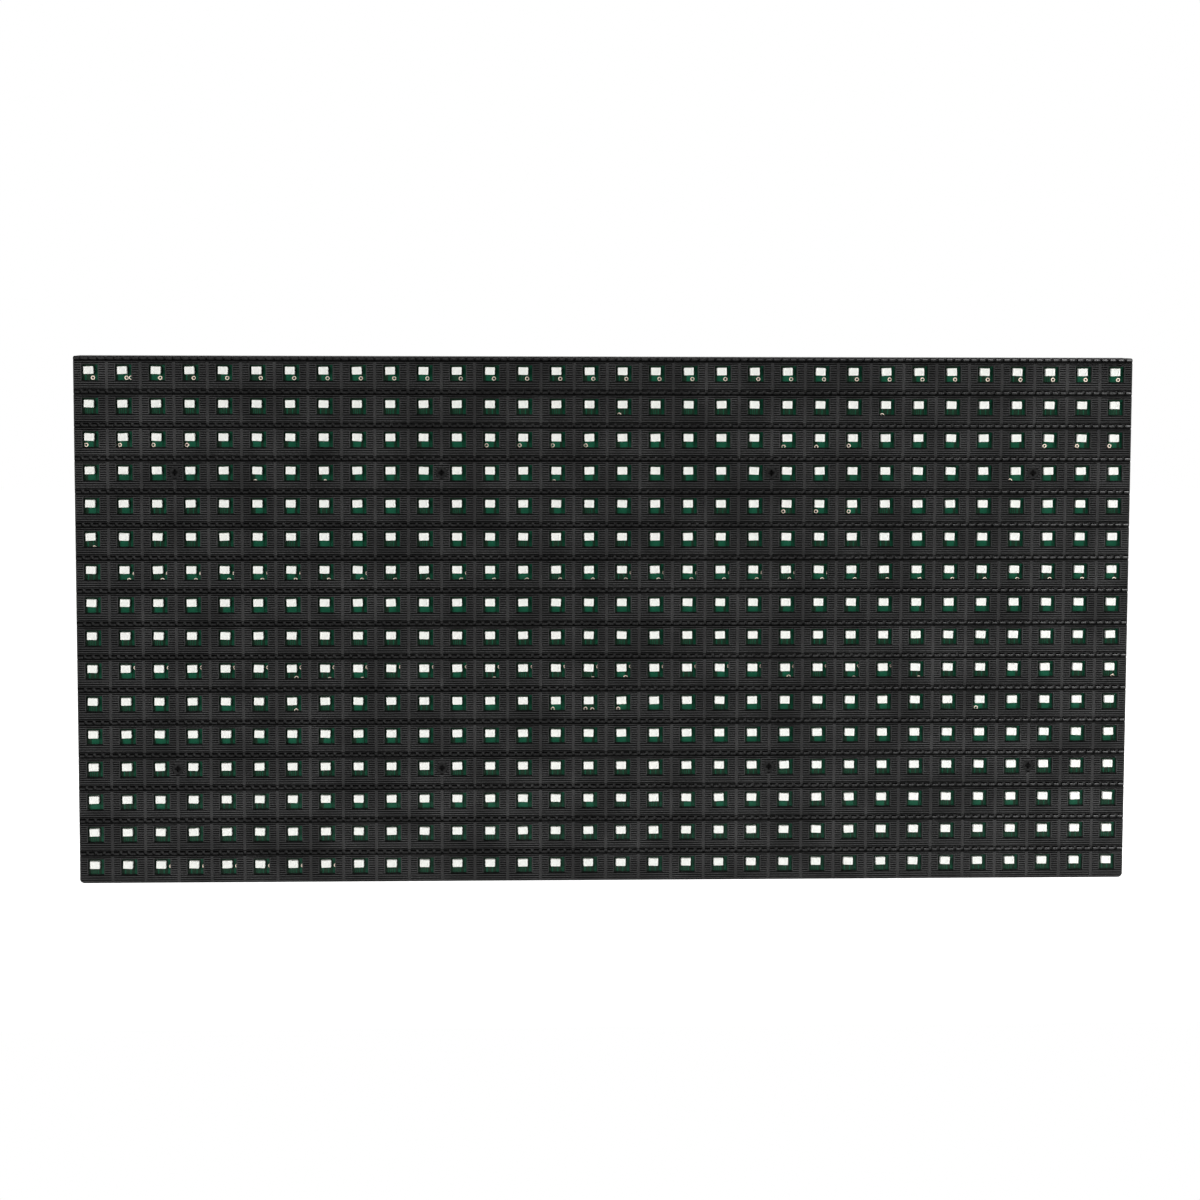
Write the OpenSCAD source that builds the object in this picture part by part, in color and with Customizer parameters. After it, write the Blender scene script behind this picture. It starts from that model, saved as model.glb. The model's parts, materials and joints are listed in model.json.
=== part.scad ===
// LED display module: a board of surface-mounted LEDs between a louvred front mask and an open rear case.
// The model is drawn lying on its back, with x to the right, y up and z towards the viewer. It is then
// stood upright, so that the lamps face -Y and the rear fixing plane is Y = 0. Sizes are in millimetres.

/* [Pixels] */
// Distance between the centres of neighbouring pixels
pitch = 10; // [9:0.5:12]
// Number of pixel columns
cols = 32; // [28:1:40]
// Number of pixel rows
rows = 16; // [14:1:20]

/* [Outline] */
// Gap left between neighbouring modules in a wall of them
seam = 0.2; // [0.1:0.1:0.6]
// Radius of the two upper corners
top_corner_r = 0.5; // [0.3:0.1:1]
// Radius of the two lower corners
bottom_corner_r = 1.3; // [0.8:0.1:1.8]

/* [Front mask] */
// Thickness of the mask's floor over the board
floor_t = 1.05; // [0.8:0.05:1.6]
// Width of the plain upright ribs between the columns
rib_w = 0.85; // [0.5:0.05:1.2]
// Height of those ribs above the floor
rib_h = 0.25; // [0.1:0.05:0.4]
// Width of a louvre at the floor
louvre_w = 1.2; // [0.9:0.1:1.6]
// Width of a louvre at its crest
crest_w = 0.4; // [0.2:0.1:0.7]
// Height of a louvre's crest above the ribs
louvre_h = 1; // [0.5:0.1:2]
// Distance from the top edge of a pixel cell to its louvre
louvre_set = 0.15; // [0.1:0.05:0.5]
// Wall of the skirt that closes round the board's edge
skirt_t = 0.9; // [0.6:0.1:1.4]
// Room left round the lamp's length in its square window
window_room = 0.7; // [0.6:0.05:1]

/* [Lamps] */
// Length of the lamp's body
lamp_l = 2.9; // [2.4:0.1:3.2]
// Width of the lamp's body
lamp_w = 2.3; // [2.1:0.1:2.8]
// Height of the lamp above the board
lamp_h = 1.9; // [1.2:0.1:2.4]
// How far each soldering lead stands out of the body
lead_out = 0.22; // [0.1:0.02:0.3]
// Width of the soldering leads
lead_w = 1.6; // [1:0.1:1.8]
// Height of the soldering leads
lead_h = 0.7; // [0.4:0.1:1]
// Diameter of the light cup in the top of the lamp
cup_d = 1.9; // [1.4:0.1:2.1]
// Depth of the light cup
cup_depth = 0.12; // [0.05:0.01:0.3]
// How far the lamps sit left of their cells' centres
lamp_left = 0.35; // [0:0.05:0.4]
// How far the lamps sit above their cells' centres
lamp_up = 0.65; // [0:0.05:0.7]
// Largest turn of a lamp out of line, in degrees
lamp_skew = 2.5; // [0:0.5:7]

/* [Circuit board] */
// Thickness of the board
board_t = 1.6; // [1:0.1:2.4]
// Gap between the board's edge and the skirt of the mask
board_gap = 0.15; // [0.1:0.05:0.4]

/* [Rear case] */
// Depth of the case behind the board
case_d = 11.5; // [10.5:0.5:18]
// Thickness of the outer wall
wall_t = 2.4; // [2:0.1:3.2]
// Width of the rear flange, from the outside of the wall
flange_w = 7; // [5:0.5:9]
// Thickness of the flange and of the crossing bars
flange_t = 2; // [1.5:0.1:3]
// Width of the crossing bars
bar_w = 9; // [8:0.5:11]
// Thickness of the web on each bar
web_t = 1.8; // [1.2:0.1:2.4]
// Gap between the webs and the board
web_gap = 2.2; // [1.8:0.1:4]

/* [Mask screws] */
// Diameter of the screw head
head_d = 3.5; // [3:0.1:3.8]
// Depth of the countersunk head
head_h = 0.95; // [0.7:0.05:1.2]
// Diameter of the screw's core
core_d = 1.6; // [1.3:0.1:2]
// Length of the screw with its head
screw_l = 8; // [6:0.5:9]
// Length of the screw's pointed tip
tip_l = 0.8; // [0.5:0.1:1.5]
// Diameter at the end of that tip
tip_d = 0.4; // [0.2:0.1:0.8]
// Depth of the pilot hole past the screw's tip
pilot_room = 1.9; // [1:0.1:2.5]
// Width of the slots of the cross recess
slot_w = 0.5; // [0.4:0.05:0.7]
// Length of the slots of the cross recess
slot_l = 2; // [1.5:0.1:2.4]
// Depth of the cross recess
slot_depth = 0.5; // [0.3:0.05:0.6]
// Gap round the screw in the mask and in its pilot hole
screw_gap = 0.1; // [0.05:0.05:0.3]
// Gap round the screw in the board
board_hole_gap = 0.4; // [0.3:0.05:0.6]
// Diameter of the bosses that take the screws
boss_d = 6.5; // [5:0.5:8]
// Columns of pixels between the side edge and the outer screws
outer_screw_cols = 3; // [3:1:4]
// Columns of pixels between the side edge and the inner screws
inner_screw_cols = 11; // [10:1:12]
// Rows of pixels between the upper or lower edge and the screws
screw_rows = 3.5; // [2.5:1:4.5]

/* [Fixing inserts] */
// Distance from the outline to the centre of an insert
insert_set = 7.9; // [7:0.1:9]
// Bore of an insert, for an M3 screw
insert_bore = 3; // [2.5:0.1:3.4]
// Outside diameter of an insert
insert_d = 4.4; // [4.2:0.1:5.4]
// Length of an insert
insert_l = 6; // [4:0.5:8]
// Width of the grip groove round an insert
grip_w = 1.2; // [0.6:0.1:2]
// Depth of that groove
grip_depth = 0.25; // [0.1:0.05:0.3]
// Gap round an insert in its pocket
insert_gap = 0.05; // [0.02:0.01:0.1]
// Wall of the boss round an insert
insert_wall = 1.9; // [1.5:0.1:2.5]
// Depth of the hole past the insert, for a longer screw
insert_relief = 3; // [1:0.5:4]
// Gap round a longer screw in that hole
relief_gap = 0.3; // [0.2:0.05:0.4]

/* [Data headers] */
// Distance between neighbouring pins
pin_pitch = 2.54; // [2:0.02:2.6]
// Pins in each of the two lines
line_pins = 8; // [5:1:10]
// Side of a square pin
pin_side = 0.64; // [0.5:0.02:0.7]
// Gap round a pin in its shell
pin_gap = 0.03; // [0.02:0.01:0.06]
// Gap between a pin's corners and its hole in the board
pin_hole_gap = 0.05; // [0.04:0.01:0.2]
// Gap between a data header and the case bar beside it
header_gap = 1.6; // [1.2:0.1:2]
// Length from the end pin to the end of the shell
shell_end = 5.2; // [4:0.1:6]
// Width of the shell
shell_w = 8.9; // [8:0.1:10]
// Height of the shell
shell_h = 9.1; // [7:0.1:10]
// Wall of the shell
shell_wall = 1.1; // [0.8:0.1:1.5]
// Thickness of the shell's floor
shell_floor = 2.4; // [1.5:0.1:3]
// Width of the keying slot in the shell's side
key_w = 4.5; // [3:0.1:6]
// Height of a pin above the shell's floor
pin_up = 4; // [3:0.1:5]

/* [Power header] */
// Distance between neighbouring power pins
power_pitch = 3.96; // [3.5:0.02:4.2]
// Number of power pins
power_pins_n = 4; // [2:1:6]
// Side of a square power pin
power_side = 1.14; // [0.8:0.02:1.2]
// Length from the end pin to the end of the base
base_end = 2; // [1.5:0.1:3]
// Width of the base
base_w = 8.5; // [7:0.1:10]
// Thickness of the base
base_h = 3; // [2:0.1:4]
// Height of the latch wall above the board
latch_h = 8; // [6:0.1:9]
// Thickness of the latch wall
latch_t = 1.2; // [0.8:0.1:2]
// Height of a power pin above the base
power_up = 5.4; // [4:0.1:6]

/* [Chips] */
// Distance between neighbouring chip leads
chip_pitch = 1.27; // [1.1:0.01:1.4]
// Length of resin past the end lead
chip_end = 0.5; // [0.4:0.05:0.8]
// Width of a narrow chip's body
narrow_w = 3.9; // [3.5:0.1:4.5]
// Width of a wide chip's body
wide_w = 7.5; // [6.5:0.1:8]
// Reach of a lead past the body
lead_reach = 1.05; // [0.8:0.05:1.3]
// Thickness of the chip's body
chip_t = 1.4; // [1:0.1:2]
// Gap between the body and the board
chip_lift = 0.15; // [0.1:0.05:0.3]
// Thickness of a chip lead
chip_lead_t = 0.2; // [0.15:0.01:0.3]
// Width of a chip lead
chip_lead_w = 0.42; // [0.3:0.02:0.5]
// Length of a lead's foot on the board
foot_l = 0.5; // [0.3:0.05:0.7]
// Diameter of the first-lead dimple
dimple_d = 0.9; // [0.5:0.1:1.2]
// Depth of the first-lead dimple
dimple_depth = 0.1; // [0.05:0.01:0.2]
// Number of leads of a shift register or of the row decoder
register_leads = 16; // [14:2:20]
// Number of leads of a line buffer
buffer_leads = 20; // [16:2:24]
// Number of leads of a row switch
switch_leads = 8; // [6:2:10]
// Distance between neighbouring row switches
switch_span = 10; // [8:0.5:11]
// Distance between the two columns of shift registers in one bay
register_span = 34; // [26:1:38]

/* [Small parts] */
// Distance from a shift register's centre to its resistor arrays
array_away = 6.5; // [5:0.5:8]
// Length of a resistor array
array_l = 3.2; // [2.5:0.1:4]
// Width of a resistor array
array_w = 1.6; // [1.2:0.1:2]
// Height of a resistor array
array_h = 0.55; // [0.4:0.05:0.8]
// Distance between the two arrays of one shift register
array_span = 4.6; // [4.2:0.1:6]
// Length of a ceramic capacitor
ceramic_l = 1.6; // [1:0.1:2]
// Width and height of a ceramic capacitor
ceramic_w = 0.8; // [0.5:0.1:1.2]
// Gap between a chip's end and its ceramic capacitor
ceramic_away = 1.4; // [1:0.1:3]
// Diameter of a reservoir capacitor
can_d = 6.3; // [5:0.1:8]
// Height of a reservoir capacitor
can_h = 7.7; // [6:0.1:9]
// How far the capacitor's square base stands out past the can
can_rim = 0.15; // [0.05:0.05:0.4]
// Thickness of that base
can_base_h = 1.2; // [0.8:0.1:1.6]
// Radius of the rolled upper edge of the can
can_edge_r = 0.5; // [0.3:0.1:0.8]
// Distance from the power header's centre to a reservoir capacitor
can_away = 30; // [24:0.5:36]

/* [Hidden] */
$fn = 48;
panel_w = cols*pitch - seam;
panel_h = rows*pitch - seam;
window = lamp_l + 2*lead_out + 2*window_room;

// Levels, from the rear fixing plane towards the viewer
board_rear = case_d;
board_front = board_rear + board_t;
floor_z = board_front + floor_t;
rib_z = floor_z + rib_h;
crest_z = rib_z + louvre_h;
mask_core_z = board_front + floor_t/2;

// Outlines that fit in one another
skirt_in_w = panel_w - 2*skirt_t;
skirt_in_h = panel_h - 2*skirt_t;
board_w = skirt_in_w - 2*board_gap;
board_h = skirt_in_h - 2*board_gap;
bay_edge_x = panel_w/2 - flange_w;
bay_edge_y = panel_h/2 - flange_w;

// Places of the mask screws, which are also the crossings of the case's bars
outer_screw_x = (cols/2 - outer_screw_cols)*pitch;
inner_screw_x = (cols/2 - inner_screw_cols)*pitch;
screw_y = (rows/2 - screw_rows)*pitch;
screw_xs = [-outer_screw_x, -inner_screw_x, inner_screw_x, outer_screw_x];
screw_ys = [-screw_y, screw_y];
screw_tip_z = floor_z - screw_l;
hole_d = core_d + 2*screw_gap;

// Places of the fixing inserts
insert_x = panel_w/2 - insert_set;
insert_y = panel_h/2 - insert_set;
insert_xs = [-insert_x, 0, insert_x];
insert_ys = [-insert_y, insert_y];
pocket_d = insert_d + 2*insert_gap;

// Places of the parts on the rear of the board
header_x = outer_screw_x + bar_w/2 + header_gap + shell_w/2;
shell_l = (line_pins - 1)*pin_pitch + 2*shell_end;
base_l = (power_pins_n - 1)*power_pitch + 2*base_end;
bay_x = (inner_screw_x + outer_screw_x)/2;
register_xs = [for (side = [-1, 1]) for (end = [-1, 1]) side*bay_x + end*register_span/2];
row_in_y = screw_y/2;
row_out_y = (screw_y + bar_w/2 + bay_edge_y)/2;
register_ys = [row_out_y, row_in_y, -row_in_y, -row_out_y];
register_at = [for (y = register_ys) for (x = register_xs) [x, y]];
decoder_at = [inner_screw_x/2, row_in_y];
buffer_at = [[-inner_screw_x/2, row_in_y], [-inner_screw_x/2, -row_in_y]];
switch_at = [for (i = [-1.5:1.5]) [inner_screw_x/2 + i*switch_span, -row_in_y]];
can_at = [[-can_away, 0], [can_away, 0]];

// A two-figure number for a node's name
function two(n) = n < 10 ? str("0", n) : str(n);

LAMP_ROWS = [for (r = [1:rows]) str("led_row_", two(r))];
REGISTERS = [for (i = [1:len(register_at)]) str("shift_register_", two(i))];
BUFFERS = [for (i = [1:len(buffer_at)]) str("line_buffer_", i)];
SWITCHES = [for (i = [1:len(switch_at)]) str("row_switch_", i)];
CANS = [for (i = [1:len(can_at)]) str("reservoir_capacitor_", i)];

// Stands the module upright, facing -Y
module upright() {
    rotate([90, 0, 0]) children();
}

// The module's front outline
module outline() {
    side_h = panel_h - top_corner_r - bottom_corner_r;
    translate([-panel_w/2, bottom_corner_r - panel_h/2])
        square([panel_w, side_h]);
    translate([bottom_corner_r - panel_w/2, -panel_h/2])
        square([panel_w - 2*bottom_corner_r, bottom_corner_r]);
    translate([top_corner_r - panel_w/2, panel_h/2 - top_corner_r])
        square([panel_w - 2*top_corner_r, top_corner_r]);
    for (side = [-1, 1]) {
        translate([side*(panel_w/2 - bottom_corner_r), bottom_corner_r - panel_h/2])
            circle(r = bottom_corner_r);
        translate([side*(panel_w/2 - top_corner_r), panel_h/2 - top_corner_r])
            circle(r = top_corner_r);
    }
}

// Centre of the pixel cell in column c and row r, counted from the upper left
function cell(c, r) = [(c - (cols - 1)/2)*pitch, ((rows - 1)/2 - r)*pitch];

module at_screws() {
    for (x = screw_xs) for (y = screw_ys) translate([x, y]) children();
}

module at_inserts() {
    for (x = insert_xs) for (y = insert_ys) translate([x, y]) children();
}

// The mask's floor, with a window for each lamp
module mask_floor() {
    translate([0, 0, board_front]) linear_extrude(floor_t) difference() {
        outline();
        for (r = [0:rows - 1]) for (c = [0:cols - 1])
            translate(cell(c, r)) square(window, center = true);
    }
}

// The wall of the mask that closes round the board
module mask_skirt() {
    translate([0, 0, board_rear]) linear_extrude(board_t + floor_t) difference() {
        outline();
        square([skirt_in_w, skirt_in_h], center = true);
    }
}

// The plain upright ribs between the columns of windows
module mask_ribs() {
    translate([0, 0, mask_core_z]) linear_extrude(rib_z - mask_core_z)
        for (c = [1:cols - 1])
            translate([(c - cols/2)*pitch, 0]) square([rib_w, panel_h], center = true);
}

// One louvre at the top of each row, tapered towards its crest
module mask_louvres() {
    taper = (louvre_w - crest_w)/2;
    sunk = floor_z - mask_core_z;
    rise = crest_z - floor_z;
    profile = [
        [-louvre_w, -sunk],
        [0, -sunk],
        [0, 0],
        [-taper, rise],
        [taper - louvre_w, rise],
        [-louvre_w, 0],
    ];
    intersection() {
        for (r = [0:rows - 1])
            translate([-panel_w/2, cell(0, r)[1] + pitch/2 - louvre_set, floor_z])
                rotate([90, 0, 90]) linear_extrude(panel_w) polygon(profile);
        translate([0, 0, mask_core_z]) linear_extrude(crest_z) outline();
    }
}

// The countersunk seat of a mask screw and its through hole
module screw_seat() {
    translate([0, 0, board_rear]) cylinder(d = hole_d, h = crest_z);
    translate([0, 0, floor_z - head_h])
        cylinder(d1 = hole_d, d2 = head_d + 2*screw_gap, h = head_h);
    translate([0, 0, floor_z]) cylinder(d = head_d + 2*screw_gap, h = crest_z);
}

module front_mask() {
    color("#2b2b2c") upright() difference() {
        union() {
            mask_floor();
            mask_skirt();
            mask_ribs();
            mask_louvres();
        }
        at_screws() screw_seat();
    }
}

// Countersunk screws with a cross recess, drawn at the core of the thread
module mask_screws() {
    color("#1d1d1f") upright() at_screws() difference() {
        union() {
            translate([0, 0, floor_z - head_h]) cylinder(d1 = core_d, d2 = head_d, h = head_h);
            translate([0, 0, screw_tip_z + tip_l]) cylinder(d = core_d, h = screw_l - head_h/2 - tip_l);
            translate([0, 0, screw_tip_z]) cylinder(d1 = tip_d, d2 = core_d, h = tip_l);
        }
        for (turn = [0, 90]) rotate(turn)
            translate([-slot_l/2, -slot_w/2, floor_z - slot_depth]) cube([slot_l, slot_w, head_h]);
    }
}

// One lamp, lying on the plane z = 0: a white body with a light cup and a lead at each end
module lamp() {
    lead_span = lamp_l + 2*lead_out;
    difference() {
        union() {
            translate([-lamp_l/2, -lamp_w/2, 0]) cube([lamp_l, lamp_w, lamp_h]);
            translate([-lead_span/2, -lead_w/2, 0]) cube([lead_span, lead_w, lead_h]);
        }
        translate([0, 0, lamp_h - cup_depth]) cylinder(d = cup_d, h = lamp_h);
    }
}

// One row of lamps, each turned a little, as they came out of the soldering oven
module led_row(r) {
    turns = rands(-lamp_skew, lamp_skew, cols, r + 1);
    color("#f4f3f3") upright()
        for (c = [0:cols - 1])
            translate(concat(cell(c, r) + [-lamp_left, lamp_up], board_front)) rotate(turns[c]) lamp();
}

// Places of the pins of a data header, round its own centre
module at_data_pins() {
    for (line = [-0.5, 0.5]) for (i = [0:line_pins - 1])
        translate([line*pin_pitch, (i - (line_pins - 1)/2)*pin_pitch]) children();
}

// Places of the pins of the power header, round its own centre
module at_power_pins() {
    for (i = [0:power_pins_n - 1])
        translate([(i - (power_pins_n - 1)/2)*power_pitch, 0]) children();
}

// Hole in the board that a square pin passes through
module pin_hole(side) {
    circle(d = side*sqrt(2) + 2*pin_hole_gap);
}

module circuit_board() {
    color("#0b5c3d") upright() translate([0, 0, board_rear]) linear_extrude(board_t) difference() {
        square([board_w, board_h], center = true);
        at_screws() circle(d = core_d + 2*board_hole_gap);
        for (side = [-1, 1]) translate([side*header_x, 0]) at_data_pins() pin_hole(pin_side);
        at_power_pins() pin_hole(power_side);
    }
}

// The bars that cross the case: upright ones from wall to wall, level ones between the outer upright ones
module case_bars(w) {
    for (x = screw_xs) translate([x, 0]) square([w, panel_h - 2*wall_t], center = true);
    for (y = screw_ys) translate([0, y]) square([2*outer_screw_x + w, w], center = true);
}

// Webs that tie the insert bosses to the upper and lower walls
module insert_webs() {
    for (x = insert_xs) for (side = [-1, 1])
        translate([x, side*(panel_h/2 - insert_set/2 - wall_t/2)])
            square([web_t, insert_set - wall_t], center = true);
}

// The open moulded frame behind the board, with its screw bosses and insert bosses
module rear_case() {
    insert_boss_d = pocket_d + 2*insert_wall;
    relief_d = insert_bore + 2*relief_gap;
    pilot_z = screw_tip_z - pilot_room;
    color("#242425") upright() difference() {
        union() {
            linear_extrude(case_d) difference() {
                outline();
                square([panel_w - 2*wall_t, panel_h - 2*wall_t], center = true);
            }
            linear_extrude(flange_t) difference() {
                square([panel_w - wall_t, panel_h - wall_t], center = true);
                square([2*bay_edge_x, 2*bay_edge_y], center = true);
            }
            linear_extrude(flange_t) case_bars(bar_w);
            linear_extrude(case_d - web_gap) case_bars(web_t);
            linear_extrude(case_d - web_gap) insert_webs();
            at_screws() cylinder(d = boss_d, h = case_d);
            at_inserts() cylinder(d = insert_boss_d, h = case_d);
        }
        at_screws() translate([0, 0, pilot_z]) cylinder(d = hole_d, h = case_d);
        at_inserts() cylinder(d = pocket_d, h = 2*insert_l, center = true);
        at_inserts() cylinder(d = relief_d, h = insert_l + insert_relief);
    }
}

// Brass inserts, grooved round the middle so that the moulding grips them
module threaded_inserts() {
    grip_in = insert_d/2 - grip_depth;
    grip_start = (insert_l - grip_w)/2;
    grip_end = (insert_l + grip_w)/2;
    color("#b8923f") upright() at_inserts() rotate_extrude() polygon([
        [insert_bore/2, 0],
        [insert_d/2, 0],
        [insert_d/2, grip_start],
        [grip_in, grip_start],
        [grip_in, grip_end],
        [insert_d/2, grip_end],
        [insert_d/2, insert_l],
        [insert_bore/2, insert_l],
    ]);
}

// Places a part on the rear face of the board, with its own z away from the board
module on_board_rear(at) {
    translate([at[0], at[1], board_rear]) mirror([0, 0, 1]) children();
}

// Shell of a data header: an open box with a keying slot and a floor that holds the pins
module data_header(side) {
    color("#1c1c1e") upright() on_board_rear([side*header_x, 0]) difference() {
        translate([-shell_w/2, -shell_l/2, 0]) cube([shell_w, shell_l, shell_h]);
        translate([shell_wall - shell_w/2, shell_wall - shell_l/2, shell_floor])
            cube([shell_w - 2*shell_wall, shell_l - 2*shell_wall, shell_h]);
        translate([-shell_w, -key_w/2, shell_floor]) cube([shell_w, key_w, shell_h]);
        at_data_pins() cube([pin_side + 2*pin_gap, pin_side + 2*pin_gap, 3*shell_floor], center = true);
    }
}

module data_pins(side) {
    pin_l = board_t + shell_floor + pin_up;
    color("#c9a54a") upright() on_board_rear([side*header_x, 0]) at_data_pins()
        translate([-pin_side/2, -pin_side/2, -board_t]) cube([pin_side, pin_side, pin_l]);
}

// Base of the power header, with a latch wall along one side
module power_header() {
    color("#e9e6dc") upright() on_board_rear([0, 0]) difference() {
        union() {
            translate([-base_l/2, -base_w/2, 0]) cube([base_l, base_w, base_h]);
            translate([-base_l/2, base_w/2 - latch_t, 0]) cube([base_l, latch_t, latch_h]);
        }
        at_power_pins() cube([power_side + 2*pin_gap, power_side + 2*pin_gap, 3*base_h], center = true);
    }
}

module power_pins() {
    pin_l = board_t + base_h + power_up;
    color("#d4d4d6") upright() on_board_rear([0, 0]) at_power_pins()
        translate([-power_side/2, -power_side/2, -board_t]) cube([power_side, power_side, pin_l]);
}

// Bent lead of a chip, seen from the chip's end: out of the resin, down and out along the board
module lead_profile(body_w) {
    exit_z = chip_lift + chip_t/2;
    out = body_w/2 + lead_reach;
    knee = out - foot_l;
    polygon([
        [0, exit_z],
        [knee - chip_lead_t, exit_z],
        [knee - chip_lead_t, 0],
        [out, 0],
        [out, chip_lead_t],
        [knee, chip_lead_t],
        [knee, exit_z + chip_lead_t],
        [0, exit_z + chip_lead_t],
    ]);
}

// Length of the body of a chip with that many leads
function chip_l(leads) = (leads/2 - 1)*chip_pitch + chip_lead_w + 2*chip_end;

// A chip with leads along both long sides, one sealed solid
module chip(leads, body_w) {
    side_n = leads/2;
    body_l = chip_l(leads);
    difference() {
        union() {
            translate([-body_l/2, -body_w/2, chip_lift]) cube([body_l, body_w, chip_t]);
            for (side = [0, 180]) rotate(side) for (i = [0:side_n - 1])
                translate([(i - (side_n - 1)/2)*chip_pitch - chip_lead_w/2, 0, 0])
                    rotate([90, 0, 90]) linear_extrude(chip_lead_w) lead_profile(body_w);
        }
        translate([dimple_d - body_l/2, dimple_d - body_w/2, chip_lift + chip_t - dimple_depth])
            cylinder(d = dimple_d, h = chip_t);
    }
}

module placed_chip(at, leads, body_w) {
    color("#222224") upright() on_board_rear(at) chip(leads, body_w);
}

// Aluminium can with a rolled edge on a square moulded base
module reservoir_capacitor(at) {
    base = can_d + 2*can_rim;
    color("#c4c6c8") upright() on_board_rear(at) {
        translate([-base/2, -base/2, 0]) cube([base, base, can_base_h]);
        rotate_extrude() union() {
            square([can_d/2, can_h - can_edge_r]);
            square([can_d/2 - can_edge_r, can_h]);
            translate([can_d/2 - can_edge_r, can_h - can_edge_r]) circle(r = can_edge_r);
        }
    }
}

// Two resistor arrays beside each shift register
module resistor_arrays() {
    color("#1b1b1d") upright() for (at = register_at) for (end = [-1, 1])
        on_board_rear(at + [end*array_span/2, -array_away])
            translate([-array_l/2, -array_w/2, 0]) cube([array_l, array_w, array_h]);
}

// One ceramic capacitor past the end of each shift register
module ceramic_capacitors() {
    color("#a98a63") upright() for (at = register_at)
        on_board_rear(at + [chip_l(register_leads)/2 + ceramic_away, 0])
            translate([-ceramic_w/2, -ceramic_l/2, 0]) cube([ceramic_w, ceramic_l, ceramic_w]);
}

front_mask();
mask_screws();
circuit_board();
rear_case();
threaded_inserts();
data_header(1);  // data_in_header
data_pins(1);  // data_in_pins
data_header(-1);  // data_out_header
data_pins(-1);  // data_out_pins
power_header();
power_pins();
for (r = [0:rows - 1])
    led_row(r);
for (i = [0:len(REGISTERS) - 1])
    placed_chip(register_at[i], register_leads, narrow_w);
placed_chip(decoder_at, register_leads, narrow_w);  // row_decoder
for (i = [0:len(BUFFERS) - 1])
    placed_chip(buffer_at[i], buffer_leads, wide_w);
for (i = [0:len(SWITCHES) - 1])
    placed_chip(switch_at[i], switch_leads, narrow_w);
for (i = [0:len(CANS) - 1])
    reservoir_capacitor(can_at[i]);
resistor_arrays();
ceramic_capacitors();
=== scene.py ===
import bpy
import bmesh
import json
import math
import random
from mathutils import Matrix, Vector

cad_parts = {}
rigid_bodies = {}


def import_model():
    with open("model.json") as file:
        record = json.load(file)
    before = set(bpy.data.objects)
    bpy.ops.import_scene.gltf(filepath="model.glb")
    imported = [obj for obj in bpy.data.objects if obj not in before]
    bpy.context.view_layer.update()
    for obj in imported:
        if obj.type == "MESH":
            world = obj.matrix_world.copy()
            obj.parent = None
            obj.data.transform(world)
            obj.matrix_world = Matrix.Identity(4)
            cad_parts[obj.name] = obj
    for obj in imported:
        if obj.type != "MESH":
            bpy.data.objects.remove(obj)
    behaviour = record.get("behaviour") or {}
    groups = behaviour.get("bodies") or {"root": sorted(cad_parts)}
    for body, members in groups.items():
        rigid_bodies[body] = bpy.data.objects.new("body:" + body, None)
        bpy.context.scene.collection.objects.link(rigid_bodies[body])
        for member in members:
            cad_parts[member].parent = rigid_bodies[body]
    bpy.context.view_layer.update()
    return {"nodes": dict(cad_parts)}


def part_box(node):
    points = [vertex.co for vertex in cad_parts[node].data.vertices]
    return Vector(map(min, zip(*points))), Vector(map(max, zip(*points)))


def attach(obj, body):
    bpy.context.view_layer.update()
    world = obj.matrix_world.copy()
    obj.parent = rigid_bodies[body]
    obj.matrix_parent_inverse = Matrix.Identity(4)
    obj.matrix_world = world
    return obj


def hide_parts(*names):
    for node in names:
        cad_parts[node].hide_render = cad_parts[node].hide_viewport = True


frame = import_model()
scene = bpy.context.scene
nodes = frame["nodes"]
mm = 0.001
print("frame:", len(nodes), "nodes")


# Nodes and materials

def hexColour(text):
    parts = [int(text[i:i + 2], 16)/255 for i in (1, 3, 5)]
    linear = [p/12.92 if p <= 0.04045 else ((p + 0.055)/1.055)**2.4 for p in parts]
    return (*linear, 1.0)


def setInputs(tree, node, inputs):  # links a socket, sets any other value
    for key, value in inputs.items():
        if isinstance(value, bpy.types.NodeSocket):
            tree.links.new(value, node.inputs[key])
        else:
            node.inputs[key].default_value = value


def addNode(tree, kind, inputs=None, stops=(), **settings):  # stops: a ramp's places, each with hex or grey
    node = tree.nodes.new(kind)
    for name, value in settings.items():
        setattr(node, name, value)
    setInputs(tree, node, inputs or {})
    for i, (place, value) in enumerate(stops):
        ramp = node.color_ramp.elements
        element = ramp[i] if i < len(ramp) else ramp.new(place)
        element.position = place
        element.color = hexColour(value) if isinstance(value, str) else (value, value, value, 1)
    return node


def newMaterial(name):  # returns the material, its tree and the object coordinates
    material = bpy.data.materials.new(name)
    material.use_nodes = True
    tree = material.node_tree
    return material, tree, addNode(tree, "ShaderNodeTexCoord").outputs["Object"]


def finishShader(tree, colour, worn, levels, height, constants, strength, deep):
    # the colour, a roughness that wanders between two levels, and a bump so many mm deep
    rough = addNode(tree, "ShaderNodeValToRGB", {"Fac": worn}, zip((0.3, 0.7), levels))
    bump = addNode(tree, "ShaderNodeBump", {"Height": height, "Strength": strength, "Distance": deep*mm})
    setInputs(tree, tree.nodes["Principled BSDF"], {
        "Base Color": colour, "Roughness": rough.outputs["Color"], "Normal": bump.outputs["Normal"]})
    setInputs(tree, tree.nodes["Principled BSDF"], constants)


# Places, taken from the frame and turned to millimetres: x right, z up, depth towards the viewer

def boxOf(name):
    return [corner/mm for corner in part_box(name)]


panel = {"cols": 32, "rows": 16, "seam": 0.2}
maskLow, maskHigh = boxOf("front_mask")
boardLow, boardHigh = boxOf("circuit_board")
halfW, halfH = maskHigh.x, maskHigh.z
pitch = (2*halfW + panel["seam"])/panel["cols"]
boardFront, boardRear, crestLevel = -boardLow.y, -boardHigh.y, -maskLow.y


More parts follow.
